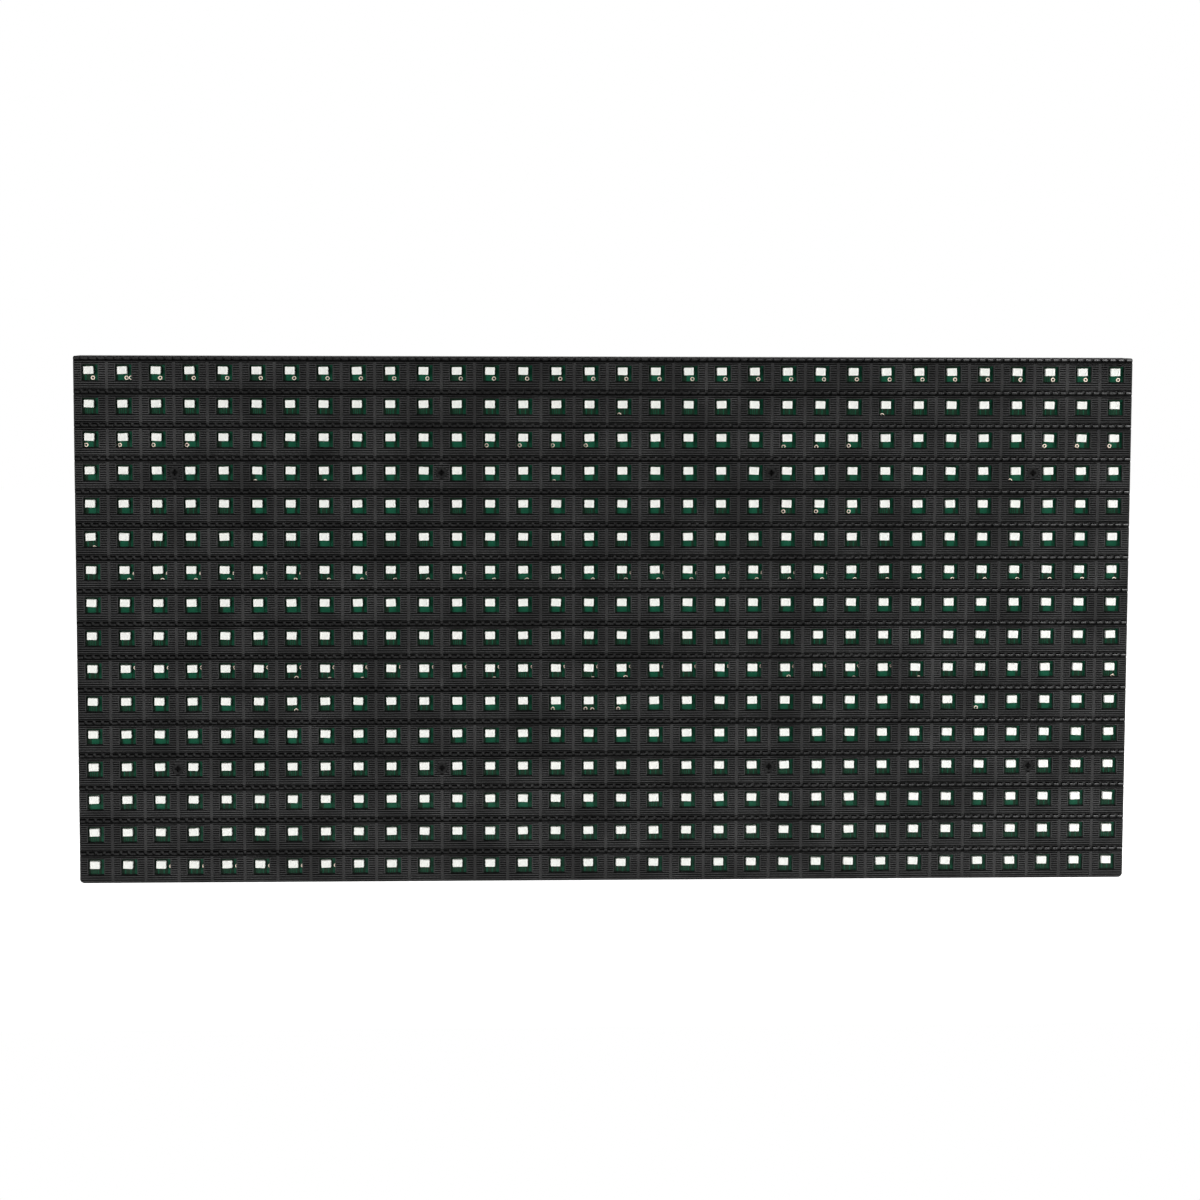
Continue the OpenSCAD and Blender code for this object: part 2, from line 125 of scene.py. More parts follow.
def cellCentre(col, row):
    return (col - (panel["cols"] - 1)/2)*pitch, ((panel["rows"] - 1)/2 - row)*pitch


grid = [(row, col, *cellCentre(col, row)) for row in range(panel["rows"]) for col in range(panel["cols"])]


# Meshes: a face is a list of (x, z, depth) points in mm

def strip(a, b):  # four-sided faces between two lines of points
    return [list(face) for face in zip(a, a[1:], b[1:], b)]


def skin(loops):  # the faces between closed loops
    return [face for a, b in zip(loops, loops[1:]) for face in strip(a + a[:1], b + b[:1])]


def solid(loops):  # the same, with both ends closed
    return [loops[0], loops[-1]] + skin(loops)


def oblong(x0, x1, z0, z1, depth):
    return [(x0, z0, depth), (x1, z0, depth), (x1, z1, depth), (x0, z1, depth)]


def turned(line, steps, z=0.0, shift=0.0):  # round loops, from radii and depths
    angles = [2*math.pi*(i + shift)/steps for i in range(steps)]
    return [[(r*math.cos(t), z + r*math.sin(t), depth) for t in angles] for r, depth in line]


doubleGap, cadGap = 0.0005, 0.001  # mm; nearer points are one, in made meshes and in copies of CAD meshes
slack = 0.01  # mm, for telling faces and points apart by their place


def merged(mesh, gap):  # a work mesh with its doubles merged
    work = bmesh.new()
    work.from_mesh(mesh)
    bmesh.ops.remove_doubles(work, verts=work.verts, dist=gap*mm)
    return work


def meshFrom(name, *finishes):  # a list of faces for each finish; closed shells are turned outwards
    faces = [face for made in finishes for face in made]
    points = [(x*mm, -depth*mm, z*mm) for face in faces for x, z, depth in face]
    count = iter(range(len(points)))
    mesh = bpy.data.meshes.new(name)
    mesh.from_pydata(points, [], [[next(count) for point in face] for face in faces])
    finish = mesh.attributes.new("finish", "INT", "FACE")
    finish.data.foreach_set("value", [i for i, made in enumerate(finishes) for face in made])
    work = merged(mesh, doubleGap)
    bmesh.ops.recalc_face_normals(work, faces=work.faces)
    work.to_mesh(mesh)
    work.free()
    return mesh


def addPiece(name, mesh, slotName, *replaced):
    piece = bpy.data.objects.new(name, mesh)
    scene.collection.objects.link(piece)
    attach(piece, "root")
    if replaced:
        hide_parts(*replaced)


# Geometry Nodes: shapes set on points, each point with its kind and its turn seen from the front

finishCount = 3


def buildScatterTree():
    tree = bpy.data.node_groups.new("shapesOnPoints", "GeometryNodeTree")
    finishNames = ["Finish %d" % i for i in range(finishCount)]
    sockets = {"Points": "Geometry", "Shapes": "Collection", "Weld": "Float"}
    sockets.update(dict.fromkeys(finishNames, "Material"))
    identifiers = {}
    for name, kind in sockets.items():
        socket = tree.interface.new_socket(name, in_out="INPUT", socket_type="NodeSocket" + kind)
        identifiers[name] = socket.identifier
    tree.interface.new_socket("Geometry", in_out="OUTPUT", socket_type="NodeSocketGeometry")
    given = addNode(tree, "NodeGroupInput").outputs
    held = {}
    for name, kind in (("kind", "INT"), ("turn", "FLOAT"), ("finish", "INT")):
        node = addNode(tree, "GeometryNodeInputNamedAttribute", {"Name": name}, data_type=kind)
        held[name] = node.outputs["Attribute"]
    shapes = addNode(tree, "GeometryNodeCollectionInfo", {
        "Collection": given["Shapes"], "Separate Children": True, "Reset Children": False})
    spin = addNode(tree, "FunctionNodeAxisAngleToRotation", {"Axis": (0, -1, 0), "Angle": held["turn"]})
    placed = addNode(tree, "GeometryNodeInstanceOnPoints", {
        "Points": given["Points"], "Instance": shapes.outputs["Instances"], "Pick Instance": True,
        "Instance Index": held["kind"], "Rotation": spin.outputs["Rotation"]})
    real = addNode(tree, "GeometryNodeRealizeInstances", {"Geometry": placed.outputs["Instances"]})
    welded = addNode(tree, "GeometryNodeMergeByDistance", {
        "Geometry": real.outputs["Geometry"], "Distance": given["Weld"]})
    result = welded.outputs["Geometry"]
    for i, name in enumerate(finishNames):
        chosen = addNode(tree, "FunctionNodeCompare", {"A": held["finish"], "B": i},
                         data_type="INT", operation="EQUAL")
        result = addNode(tree, "GeometryNodeSetMaterial", {
            "Geometry": result, "Selection": chosen.outputs["Result"],
            "Material": given[name]}).outputs["Geometry"]
    addNode(tree, "NodeGroupOutput", {"Geometry": result})
    return tree, identifiers


scatterTree, scatterSocket = buildScatterTree()


def scatter(name, shapes, places, finishes, weld=0.0):  # places as x, z, depth, and kind and turn if needed
    points = [(*p, *(0, 0.0)[len(p) - 3:]) for p in places]
    holder = bpy.data.collections.new(name + "Shapes")
    scene.collection.children.link(holder)
    for i, shape in enumerate(shapes):
        holder.objects.link(bpy.data.objects.new("%s%02d" % (name, i), shape))
    cloud = bpy.data.meshes.new(name + "Points")
    cloud.from_pydata([(x*mm, -depth*mm, z*mm) for x, z, depth, kind, turn in points], [], [])
    cloud.attributes.new("kind", "INT", "POINT").data.foreach_set("value", [p[3] for p in points])
    cloud.attributes.new("turn", "FLOAT", "POINT").data.foreach_set("value", [p[4] for p in points])
    carrier = bpy.data.objects.new(name + "Carrier", cloud)
    scene.collection.objects.link(carrier)
    modifier = carrier.modifiers.new("shapes", "NODES")
    modifier.node_group = scatterTree
    modifier[scatterSocket["Shapes"]] = holder
    modifier[scatterSocket["Weld"]] = weld*mm
    for i in range(finishCount):
        modifier[scatterSocket["Finish %d" % i]] = finishes[min(i, len(finishes) - 1)]
    bpy.context.view_layer.update()
    graph = bpy.context.evaluated_depsgraph_get()
    mesh = bpy.data.meshes.new_from_object(carrier.evaluated_get(graph), depsgraph=graph)
    mesh.name = name
    mesh.materials.pop(index=0)  # the shapes' empty slot
    carrier.modifiers.remove(modifier)
    for used in [carrier, *holder.objects]:
        bpy.data.objects.remove(used)
    bpy.data.collections.remove(holder)
    return mesh


# Sizes of the mask, in mm

maskCell = {"floor": 1.05, "land": 0.25, "rib": 0.85, "window": 4.74, "chamfer": 0.1, "rim": 0.2,
            "rimSlack": 0.05, "groove": 0.37, "groovePitch": 0.693, "firstGroove": 1.41, "louvreFoot": 1.76,
            "gutterTop": 1.2, "gutterDepth": 0.35, "gutterSlope": 0.06, "seatR": 1.79, "holeR": 0.9,
            "headH": 0.95, "topR": 0.5, "bottomR": 1.3, "cornerSteps": 5, "skirt": 0.9}
grooveLevel = boardFront + maskCell["floor"]
landLevel = grooveLevel + maskCell["land"]


# Black plastic of the mask

# the deep, flank and crest colours are painted shade for the grooves and the louvres' sides and tops; face is
# the plastic's own black
maskBlack = {"deep": "#040404", "face": "#2b2b2b", "flank": "#080808", "crest": "#1d1d1d",
             "dusty": 3.4,  # times as pale under dust
             "dustFrom": 0.19, "dustTo": 0.38, "dustMost": 0.6,
             "grit": 0.4, "cloud": 16.0, "rough": 0.5, "shine": 0.15}  # mm; the grit is drawn coarse to show


def mouldedPolycarbonate(name, **changes):
    # spark-eroded mould: matt near-black and dusty in places; painted shade, set by depth, darkens it in the
    # grooves and on the louvres' flanks and crests
    look = {**maskBlack, **changes}
    material, tree, place = newMaterial(name)
    depth = addNode(tree, "ShaderNodeSeparateXYZ", {"Vector": place}).outputs["Y"]
    height = addNode(tree, "ShaderNodeMapRange", {
        "Value": depth, "From Min": -boardRear*mm, "From Max": -crestLevel*mm})
    marks = [  # depths between which the painted shade changes
        (boardRear, "face"), (grooveLevel - 0.2, "face"), (grooveLevel, "deep"), (landLevel - 0.03, "deep"),
        (landLevel - 0.01, "face"), (landLevel + 0.15, "face"), (landLevel + 0.2, "flank"),
        (crestLevel - 0.2, "flank"), (crestLevel, "crest")]
    shades = [((level - boardRear)/(crestLevel - boardRear), look[part]) for level, part in marks]
    base = addNode(tree, "ShaderNodeValToRGB", {"Fac": height.outputs["Result"]}, shades)
    cloud, grit = (addNode(tree, "ShaderNodeTexNoise", {
        "Vector": place, "Scale": 1/(look[size]*mm), "Detail": detail}).outputs["Fac"]
        for size, detail in (("cloud", 4.0), ("grit", 2.0)))
    both = addNode(tree, "ShaderNodeMath", {0: cloud, 1: grit}, operation="MULTIPLY")
    film = addNode(tree, "ShaderNodeMapRange", {
        "Value": both.outputs["Value"], "From Min": look["dustFrom"], "From Max": look["dustTo"],
        "To Max": look["dustMost"]})
    colour = addNode(tree, "ShaderNodeMix", {
        "Factor": film.outputs["Result"], 6: base.outputs["Color"], 7: (*[look["dusty"]]*3, 1)},
        data_type="RGBA", blend_type="MULTIPLY")
    finishShader(tree, colour.outputs[2], grit, (look["rough"] - 0.08, look["rough"] + 0.08), grit,
                 {"Specular IOR Level": look["shine"]}, strength=0.3, deep=0.02)
    return material


maskPlastic = mouldedPolycarbonate("mouldedBlackPolycarbonate")
# the cutter left the ribs' tops plain, so they look a little darker than the sharp lands beside the grooves
ribPlastic = mouldedPolycarbonate("plainBlackPolycarbonate", face="#252525")
# handled edges are rubbed smoother, so they catch more light
rubbedEdge = mouldedPolycarbonate("rubbedBlackPolycarbonate", rough=0.38, shine=0.42)
# painted shadow: a deeper black with less shine, for the strip and gutter under the louvres, the louvres'
# steep flanks and the screw recesses
paintedShadePlastic = mouldedPolycarbonate("polishedBlackPolycarbonate",
                                       face="#040404", flank="#040404", shine=0.06)


# Green lacquer of the board

boardLook = {"green": "#0e4b36", "shade": "#0c3e2d", "clothShow": 0.25, "rough": (0.16, 0.26), "shine": 0.06,
             "cloud": 7.0, "weave": 0.9}  # mm; the weave is drawn coarse to show


def solderMaskGreen(name, **changes):  # poured over copper and glass cloth: glossy, the weave just showing
    look = {**boardLook, **changes}
    material, tree, place = newMaterial(name)
    size, weave = look["cloud"]*mm, look["weave"]
    noise = addNode(tree, "ShaderNodeTexNoise", {"Vector": place, "Scale": 1/size, "Detail": 3.0})
    cloud = noise.outputs["Fac"]
    base = addNode(tree, "ShaderNodeValToRGB", {"Fac": cloud}, [(0.3, look["shade"]), (0.65, look["green"])])
    upright = addNode(tree, "ShaderNodeMapping", {"Vector": place, "Rotation": (math.pi/2, 0, 0)})
    brick = addNode(tree, "ShaderNodeTexBrick", {
        "Vector": upright.outputs["Vector"], "Scale": 1/mm, "Mortar Size": 0.08*weave, "Mortar Smooth": 1.0,
        "Brick Width": weave, "Row Height": weave, "Color1": (1, 1, 1, 1), "Color2": (0.8, 0.8, 0.8, 1),
        "Mortar": (0.55, 0.55, 0.55, 1)})
    cloth = brick.outputs["Color"]
    colour = addNode(tree, "ShaderNodeMix", {"Factor": look["clothShow"], 6: base.outputs["Color"], 7: cloth},
                     data_type="RGBA", blend_type="MULTIPLY")
    finishShader(tree, colour.outputs[2], cloud, look["rough"], cloth,
                 {"Specular IOR Level": look["shine"]}, strength=0.2, deep=0.01)
    return material


boardGreen = solderMaskGreen("greenSolderMask")
# the front's lacquer is thinner, so the brown laminate dulls it wherever there is no copper
frontGreen = solderMaskGreen("solderMaskOverLaminate", green="#243a2c", shade="#1f3327")
# copper below the lacquer shows paler
trackGreen = solderMaskGreen("solderMaskOverCopper", green="#1d5841", shade="#194d38",
                             cloud=3.0, clothShow=0.1, shine=0.08)


# Other plastics and resins

def mouldedPlastic(name, colour, other, rough, grit, drift, grain, shine=0.5):
    # moulded or cast, with an even grain from the tool and slow drifts of colour; grit and drift in mm
    material, tree, place = newMaterial(name)
    fine, slow = (addNode(tree, "ShaderNodeTexNoise", {
        "Vector": place, "Scale": 1/(size*mm), "Detail": 3.0}).outputs["Fac"] for size in (grit, drift))
    both = addNode(tree, "ShaderNodeMix", {"Factor": 0.35, 2: slow, 3: fine})
    shade = addNode(tree, "ShaderNodeValToRGB", {"Fac": both.outputs[0]}, [(0.35, colour), (0.65, other)])
    finishShader(tree, shade.outputs["Color"], fine, (rough - 0.07, rough + 0.08), fine,
                 {"Specular IOR Level": shine}, strength=grain, deep=0.03)
    return material


# moulded reflector package, matt white
lampWhite = mouldedPlastic("whitePolyphthalamide", "#f2f3ed", "#ecede7",
                           rough=0.48, grit=0.3, drift=6.0, grain=0.15)
# cast resin with a little diffuser, glossy and milky
lampResin = mouldedPlastic("milkyEpoxyResin", "#eff0eb", "#e9eae5",
                           rough=0.28, grit=0.6, drift=1.2, grain=0.05)
# painted shade: a brown-black rough finish on the holes' shallow walls and bottoms, standing in for the dark
# down each hole
holeShade = mouldedPlastic("drilledLaminate", "#1a100c", "#0c0705", rough=0.85, grit=0.3, drift=2.0, grain=0.3)
# moulded with an etched grain
casePlastic = mouldedPlastic("texturedBlackCase", "#1f1f20", "#29292a",
                             rough=0.55, grit=0.7, drift=30.0, grain=0.45)
# glass-filled, moulded smooth
headerPlastic = mouldedPlastic("blackPolyesterHeader", "#1e1e20", "#272729",
                               rough=0.46, grit=0.5, drift=9.0, grain=0.2)
# undyed, slightly see-through at thin walls, so a warm white
nylon = mouldedPlastic("naturalWhiteNylon", "#e9e6dc", "#ddd8ca", rough=0.45, grit=0.6, drift=8.0, grain=0.15)
# transfer-moulded, sand-textured black
chipResin = mouldedPlastic("blackMouldingResin", "#232325", "#2e2e30",
                           rough=0.62, grit=0.25, drift=4.0, grain=0.35)
# fired glass glaze, near-black and shiny
resistorGlaze = mouldedPlastic("blackGlaze", "#17171a", "#202024", rough=0.26, grit=0.5, drift=3.0, grain=0.1)
# fired barium titanate, dull brown
ceramic = mouldedPlastic("firedCeramic", "#a98a63", "#93744c", rough=0.5, grit=0.25, drift=1.5, grain=0.2)
# printed through a screen, so a thin flat film
silkInk = mouldedPlastic("whiteSilkInk", "#dcdcd6", "#cfcfc8", rough=0.6, grit=0.3, drift=4.0, grain=0.1)


# Metals

def workedMetal(name, colour, dull, rough, patch, lines, grain):
    # plated, drawn or turned: fine lines across the cut and faint duller patches, so many mm wide
    material, tree, place = newMaterial(name)
    squeezed = addNode(tree, "ShaderNodeMapping", {"Vector": place, "Scale": lines}).outputs["Vector"]
    patches = addNode(tree, "ShaderNodeTexNoise", {"Vector": place, "Scale": 1/(patch*mm), "Detail": 4.0})
    drawn = addNode(tree, "ShaderNodeTexNoise", {"Vector": squeezed, "Scale": 1/mm, "Detail": 2.0})
    cloudy, fine = patches.outputs["Fac"], drawn.outputs["Fac"]
    shade = addNode(tree, "ShaderNodeValToRGB", {"Fac": cloudy}, [(0.4, colour), (0.75, dull)])
    both = addNode(tree, "ShaderNodeMix", {"Factor": 0.5, 2: cloudy, 3: fine})
    finishShader(tree, shade.outputs["Color"], both.outputs[0], (rough - 0.08, rough + 0.1), fine,
                 {"Metallic": 1.0}, strength=grain, deep=0.01)
    return material


# hot-dipped, rounded and a little cloudy
tin = workedMetal("tinnedCopper", "#d6d7d9", "#a9aaac", rough=0.34, patch=0.8, lines=(1, 1, 1), grain=0.1)
# immersion gold on etched copper, pinkish and half dull
viaGold = workedMetal("giltCopper", "#fff0e2", "#f6dcc6", rough=0.5, patch=0.6, lines=(2, 2, 2), grain=0.1)
# turned on a lathe
brass = workedMetal("turnedBrass", "#cfa455", "#a37d3c", rough=0.3, patch=1.5, lines=(1, 6, 1), grain=0.2)
# stamped and flash-plated
giltPin = workedMetal("giltPhosphorBronze", "#dcb660", "#bb9244",
                      rough=0.26, patch=1.0, lines=(4, 0.4, 4), grain=0.15)
# deep-drawn can, lines along the draw
aluminium = workedMetal("drawnAluminium", "#b4b6b8", "#989b9e",
                        rough=0.38, patch=3.0, lines=(5, 0.3, 5), grain=0.2)
print("materials: made")


# The mask's cell: grooved floor, chamfered window, plain ribs, gutter under the louvre and half a screw seat

grooveCount = int((pitch - maskCell["firstGroove"])/maskCell["groovePitch"]) + 1
grooves = [pitch/2 - maskCell["firstGroove"] - i*maskCell["groovePitch"] for i in range(grooveCount)]


def profile(top, bottom):  # (z, level) down the floor between two lands, with a vee for each groove
    half = maskCell["groove"]/2
    points = [(top, landLevel)]
    for z in grooves:
        if bottom < z < top:
            points += [(min(z + half, top), landLevel), (z, grooveLevel), (z - half, landLevel)]
    points.append((bottom, landLevel))
    return [p for i, p in enumerate(points) if i == 0 or p != points[i - 1]]


def floorStrip(line, starts, ends, closed, topXs=(), bottomXs=()):
    # grooved floor from a start to an end at each point of the line; closes the grooves at the given x
    faces = []
    last = len(line) - 2
    for i, ((za, da), (zb, db)) in enumerate(zip(line, line[1:])):
        above = [starts[i], *(topXs if i == 0 else ()), ends[i]]
        below = [ends[i + 1], *(bottomXs if i == last else ()), starts[i + 1]]
        faces.append([(x, za, da) for x in above] + [(x, zb, db) for x in below])
    first = 0
    for i, (z, d) in enumerate(line):
        if d == landLevel:
            if i - first > 1:
                faces += [[(x, *p) for p in line[first:i + 1]] for x in closed]
            first = i
    return faces


def plainFloor(line, x0, x1, **extra):
    return floorStrip(line, [x0]*len(line), [x1]*len(line), (x0, x1), **extra)


def edgePoints(x, line):  # the land-level points of a strip's end, down its side
    return [(x, z, d) for z, d in line if d == landLevel]


def halfSeat(side, xIn, xRib, line):  # floor from xIn to the cell's edge, round half a countersunk hole
    edge, radius = side*pitch/2, maskCell["seatR"]
    spots = [line[0]]
    for (za, da), (zb, db) in zip(line, line[1:]):
        spots += [(z, da + (db - da)*(za - z)/(za - zb)) for z in (radius, -radius) if zb < z < za]
        spots.append((zb, db))
    reach = [math.sqrt(max(0.0, radius**2 - z*z)) for z, d in spots]
    faces = floorStrip(spots, [xIn]*len(spots), [edge - side*r for r in reach], [xIn], [xRib], [xRib])
    arc = [(r, z, d) for r, (z, d) in zip(reach, spots) if abs(z) <= radius]
    small = maskCell["holeR"]/radius
    loops = [[(edge - side*r, z, d) for r, z, d in arc]]
    for share, level in ((1, grooveLevel), (small, grooveLevel - maskCell["headH"]), (small, boardFront)):
        loops.append([(edge - side*r*share, z*share, level) for r, z, d in arc])
    for upper, lower in zip(loops, loops[1:]):
        faces += strip(upper, lower)
    return faces, loops[-1], spots


def maskCellMesh(seatSide):  # seatSide is -1, 0 or 1, for the cell's edge with a screw
    half, win = pitch/2, maskCell["window"]/2
    ribX, foot = half - maskCell["rib"]/2, half - maskCell["louvreFoot"]
    lip = win + maskCell["chamfer"]
    rimX = lip + maskCell["rim"]
    rimTop = min(z for z in grooves if z > lip) - maskCell["groove"]/2
    rimBottom = max(z for z in grooves if z < maskCell["rimSlack"] - lip) + maskCell["groove"]/2
    gutter, slope = half - maskCell["gutterTop"], maskCell["gutterSlope"]
    low = landLevel - maskCell["gutterDepth"]
    down = [(half, landLevel), (gutter, landLevel), (gutter - slope, low),
            (foot + slope, low), (foot, landLevel)]
    edgeX = [-half, -ribX, ribX, half]
    behind = []  # plain strip under the louvre, then the gutter, both in the painted-shadow black
    for x0, x1 in zip(edgeX, edgeX[1:]):
        behind += strip([(x0, *p) for p in down], [(x1, *p) for p in down])
    upper, lower, beside = profile(foot, rimTop), profile(rimBottom, -half), profile(rimTop, rimBottom)
    faces = plainFloor(upper, -ribX, ribX, bottomXs=(rimX, -rimX))  # shares its corners with the rim below it
    faces += plainFloor(lower, -ribX, ribX, topXs=(-rimX, rimX))
    ribs = []
    for side in (-1, 1):
        inner, outer = side*rimX, side*ribX
        if side == seatSide:
            made, rearSeat, rimLine = halfSeat(side, inner, outer, beside)
            ribLines = [upper, lower]
        else:
            made, rearSeat, rimLine = plainFloor(beside, inner, outer), [], beside
            ribLines = [upper + beside[1:] + lower[1:]]
        faces += made
        for line in ribLines:  # plain rib, with the grooves' corners on its inner edge
            ribEnds = [(side*half, z, landLevel) for z in (line[-1][0], line[0][0])]
            ribs.append(edgePoints(outer, line) + ribEnds)
        # rim at the window's side, then the rear face beside the window
        faces.append(edgePoints(inner, rimLine) + [(side*lip, -lip, landLevel), (side*lip, lip, landLevel)])
        rear = [(side*half, half), (side*half, foot), *[p[:2] for p in rearSeat], (side*half, -half)]
        faces.append([(x, z, boardFront) for x, z in rear + [(side*win, -win), (side*win, win)]])
    for way, z in ((1, rimTop), (-1, rimBottom)):  # the same above and below the window
        rim = [(-rimX, z), (rimX, z), (lip, way*lip), (-lip, way*lip)]
        faces.append([(*p, landLevel) for p in rim])
        rear = [(x, way*half) for x in edgeX] + [(win, way*win), (-win, way*win)]
        faces.append([(*p, boardFront) for p in rear])
    squares = ((lip, landLevel), (win, landLevel - maskCell["chamfer"]), (win, boardFront))
    faces += skin([oblong(-r, r, -r, r, depth) for r, depth in squares])
    return meshFrom("maskCell", faces, behind, ribs)


# The slab of cells, closed along its outline

# how near counts as touching, in mm, and the height over the board that parts the front and rear skins
sewing = {"cells": 0.002, "cuts": 0.003, "slivers": 0.001, "corners": 0.005, "skins": 0.1}


def roundCorners(work):  # clips the slab to the outline's rounded corners
    for sideX in (-1, 1):
        for sideZ, radius in ((-1, maskCell["bottomR"]), (1, maskCell["topR"])):
            centre = Vector((sideX*(halfW - radius), 0, sideZ*(halfH - radius)))*mm
            for i in range(1, maskCell["cornerSteps"]):
                turn = math.pi/2*i/maskCell["cornerSteps"]
                out = Vector((sideX*math.cos(turn), 0, sideZ*math.sin(turn)))
                bmesh.ops.bisect_plane(work, geom=work.verts[:] + work.edges[:] + work.faces[:],
                                       plane_co=centre + out*radius*mm, plane_no=out, clear_outer=True)


def skinKey(vert):
    return round(vert.co.x/mm, 2), round(vert.co.z/mm, 2)


def skinRim(work, front):  # the open edges of the front or of the rear skin
    between = -(boardFront + sewing["skins"])*mm
    return [e for e in work.edges if e.is_boundary and all((v.co.y < between) == front for v in e.verts)]


def matchSkins(work, front):  # splits this skin's rim wherever the other one has a corner
    known = {skinKey(v) for e in skinRim(work, front) for v in e.verts}
    for vert in dict.fromkeys(v for e in skinRim(work, not front) for v in e.verts):
        if skinKey(vert) in known:
            continue
        for edge in skinRim(work, front):
            a, b = (v.co for v in edge.verts)
            run = Vector((b.x - a.x, 0, b.z - a.z))
            along = (vert.co - a).dot(run)/run.length_squared
            spot = a.lerp(b, along)
            if 0 < along < 1 and math.hypot(spot.x - vert.co.x, spot.z - vert.co.z) < sewing["corners"]*mm:
                made = bmesh.utils.edge_split(edge, edge.verts[0], along)[1]
                made.co = Vector((vert.co.x, spot.y, vert.co.z))
                break


def skirtMesh():  # the wall behind the slab that closes round the board
    outer = []
    for sideX, sideZ, start in ((1, 1, 0), (-1, 1, 90), (-1, -1, 180), (1, -1, 270)):
        radius = maskCell["topR"] if sideZ > 0 else maskCell["bottomR"]
        for i in range(maskCell["cornerSteps"] + 1):
            turn = math.radians(start + 90*i/maskCell["cornerSteps"])
            outer.append((sideX*(halfW - radius) + radius*math.cos(turn),
                          sideZ*(halfH - radius) + radius*math.sin(turn)))
    inX, inZ = halfW - maskCell["skirt"], halfH - maskCell["skirt"]
    inner = [(max(-inX, min(inX, x)), max(-inZ, min(inZ, z))) for x, z in outer]
    rims = ((outer, boardFront), (outer, boardRear), (inner, boardRear), (inner, boardFront))
    loops = [[(*p, depth) for p in points] for points, depth in rims]
    return meshFrom("skirt", skin(loops + loops[:1]))


def closeSlab(mesh):  # outline, rounded corners and the side walls between the front and rear skins
    work = bmesh.new()
    work.from_mesh(mesh)
    for vert in work.verts:
        vert.co.x = max(-halfW*mm, min(halfW*mm, vert.co.x))
        vert.co.z = max(-halfH*mm, min(halfH*mm, vert.co.z))
    roundCorners(work)
    bmesh.ops.remove_doubles(work, verts=work.verts, dist=sewing["cuts"]*mm)
    bmesh.ops.dissolve_degenerate(work, edges=work.edges, dist=sewing["slivers"]*mm)
    matchSkins(work, False)
    matchSkins(work, True)
    rear = {skinKey(v): v for e in skinRim(work, False) for v in e.verts}
    for edge in skinRim(work, True):
        a, b = edge.verts
        work.faces.new([a, b, rear[skinKey(b)], rear[skinKey(a)]])
    work.from_mesh(skirtMesh())
    bmesh.ops.recalc_face_normals(work, faces=work.faces)
    work.to_mesh(mesh)
    left = sum(e.is_boundary for e in work.edges)
    work.free()
    return left


screws = []
for vert in nodes["mask_screws"].data.vertices:  # each stands midway between two windows of a row
    across, up = vert.co.x/mm/pitch, vert.co.z/mm/pitch
    place = (round(across)*pitch, (round(up - 0.5) + 0.5)*pitch)
    if place not in screws:
        screws.append(place)


def cellKind(x, z):  # 1 or 2 where a screw is at the cell's left or right edge
    for screwX, screwZ in screws:
        if math.hypot(abs(screwX - x) - pitch/2, screwZ - z) < pitch/4:
            return 2 if screwX > x else 1
    return 0


slab = scatter("maskCells", [maskCellMesh(side) for side in (0, -1, 1)],
               [(x, z, 0, cellKind(x, z)) for row, col, x, z in grid],
               [maskPlastic, paintedShadePlastic, ribPlastic], sewing["cells"])
openEdges = closeSlab(slab)
addPiece("front_mask_grid", slab, "mask_plastic", "front_mask")
print("mask grid:", len(slab.polygons), "faces,", openEdges, "open edges,", len(screws), "screws")


# Louvres: short hoods with a bevelled upper edge, low bridges between them, and a low brow over each window

# each line goes down the ridge with its share of the rise, and its numbered faces are rubbed, or take the
# painted-shadow black
tooth = {"perCell": 4, "top": 0.15, "base": 1.75, "crest": 1.45, "sunk": 0.05, "rise": crestLevel - landLevel,
         "line": [(0.0, 0.0), (0.3, 0.7), (0.55, 0.95), (0.8, 1.0), (0.95, 0.86), (1.05, 0.0)],
         "rubbed": (1,), "polished": (0, 4)}
bridge = {"base": 0.95, "crest": 0.75, "sunk": 0.05, "rise": 0.14,
          "line": [(0.0, 0.0), (0.14, 1.0), (0.45, 0.45), (0.6, 1.0), (0.75, 1.0), (0.85, 0.0)],
          "rubbed": (), "polished": ()}
brow = {"base": 4.9, "crest": 4.7, "sunk": 0.03, "rise": 0.12,
        "line": [(0.0, 0.0), (0.12, 0.95), (0.2, 1.0), (0.27, 0.0)], "rubbed": (0,), "polished": ()}


def ridgeMesh(name, ridge):  # a closed ridge along x, its ends drawn in towards the crest
    ends = []
    for side in (-1, 1):
        ends.append([(side*(ridge["base"] - (ridge["base"] - ridge["crest"])*up)/2, -down,
                      up*ridge["rise"] if up else -ridge["sunk"]) for down, up in ridge["line"]])
    plain, rubbed, polished = [ends[0], ends[1][::-1]], [], []
    for i, face in enumerate(skin(ends)):
        (rubbed if i in ridge["rubbed"] else polished if i in ridge["polished"] else plain).append(face)
    return meshFrom(name, plain, rubbed, polished)


ridges = []
step = pitch/tooth["perCell"]
browTop = min(z for z in grooves if z > maskCell["window"]/2) - maskCell["groove"]/2
for row, col, x, z in grid:
    toothTop = z + pitch/2 - tooth["top"]
    for i in range(tooth["perCell"]):
        left = x - pitch/2 + i*step
        ridges.append((left + step/2, toothTop, landLevel, 0))
        if i or col:
            ridges.append((left, toothTop, landLevel, 1))
    ridges.append((x, z + browTop, landLevel, 2))
ridgeKinds = {"louvreTooth": tooth, "louvreBridge": bridge, "windowBrow": brow}
ridgeShapes = [ridgeMesh(name, ridge) for name, ridge in ridgeKinds.items()]
louvres = scatter("louvres", ridgeShapes, ridges, [maskPlastic, rubbedEdge, paintedShadePlastic])
addPiece("front_mask_louvres", louvres, "mask_plastic", "front_mask")
print("louvres:", len(ridges), "ridges,", len(louvres.polygons), "faces")


# Lamps: bevelled white packages with a round resin cup, leads and solder, turned as their CAD lamps are

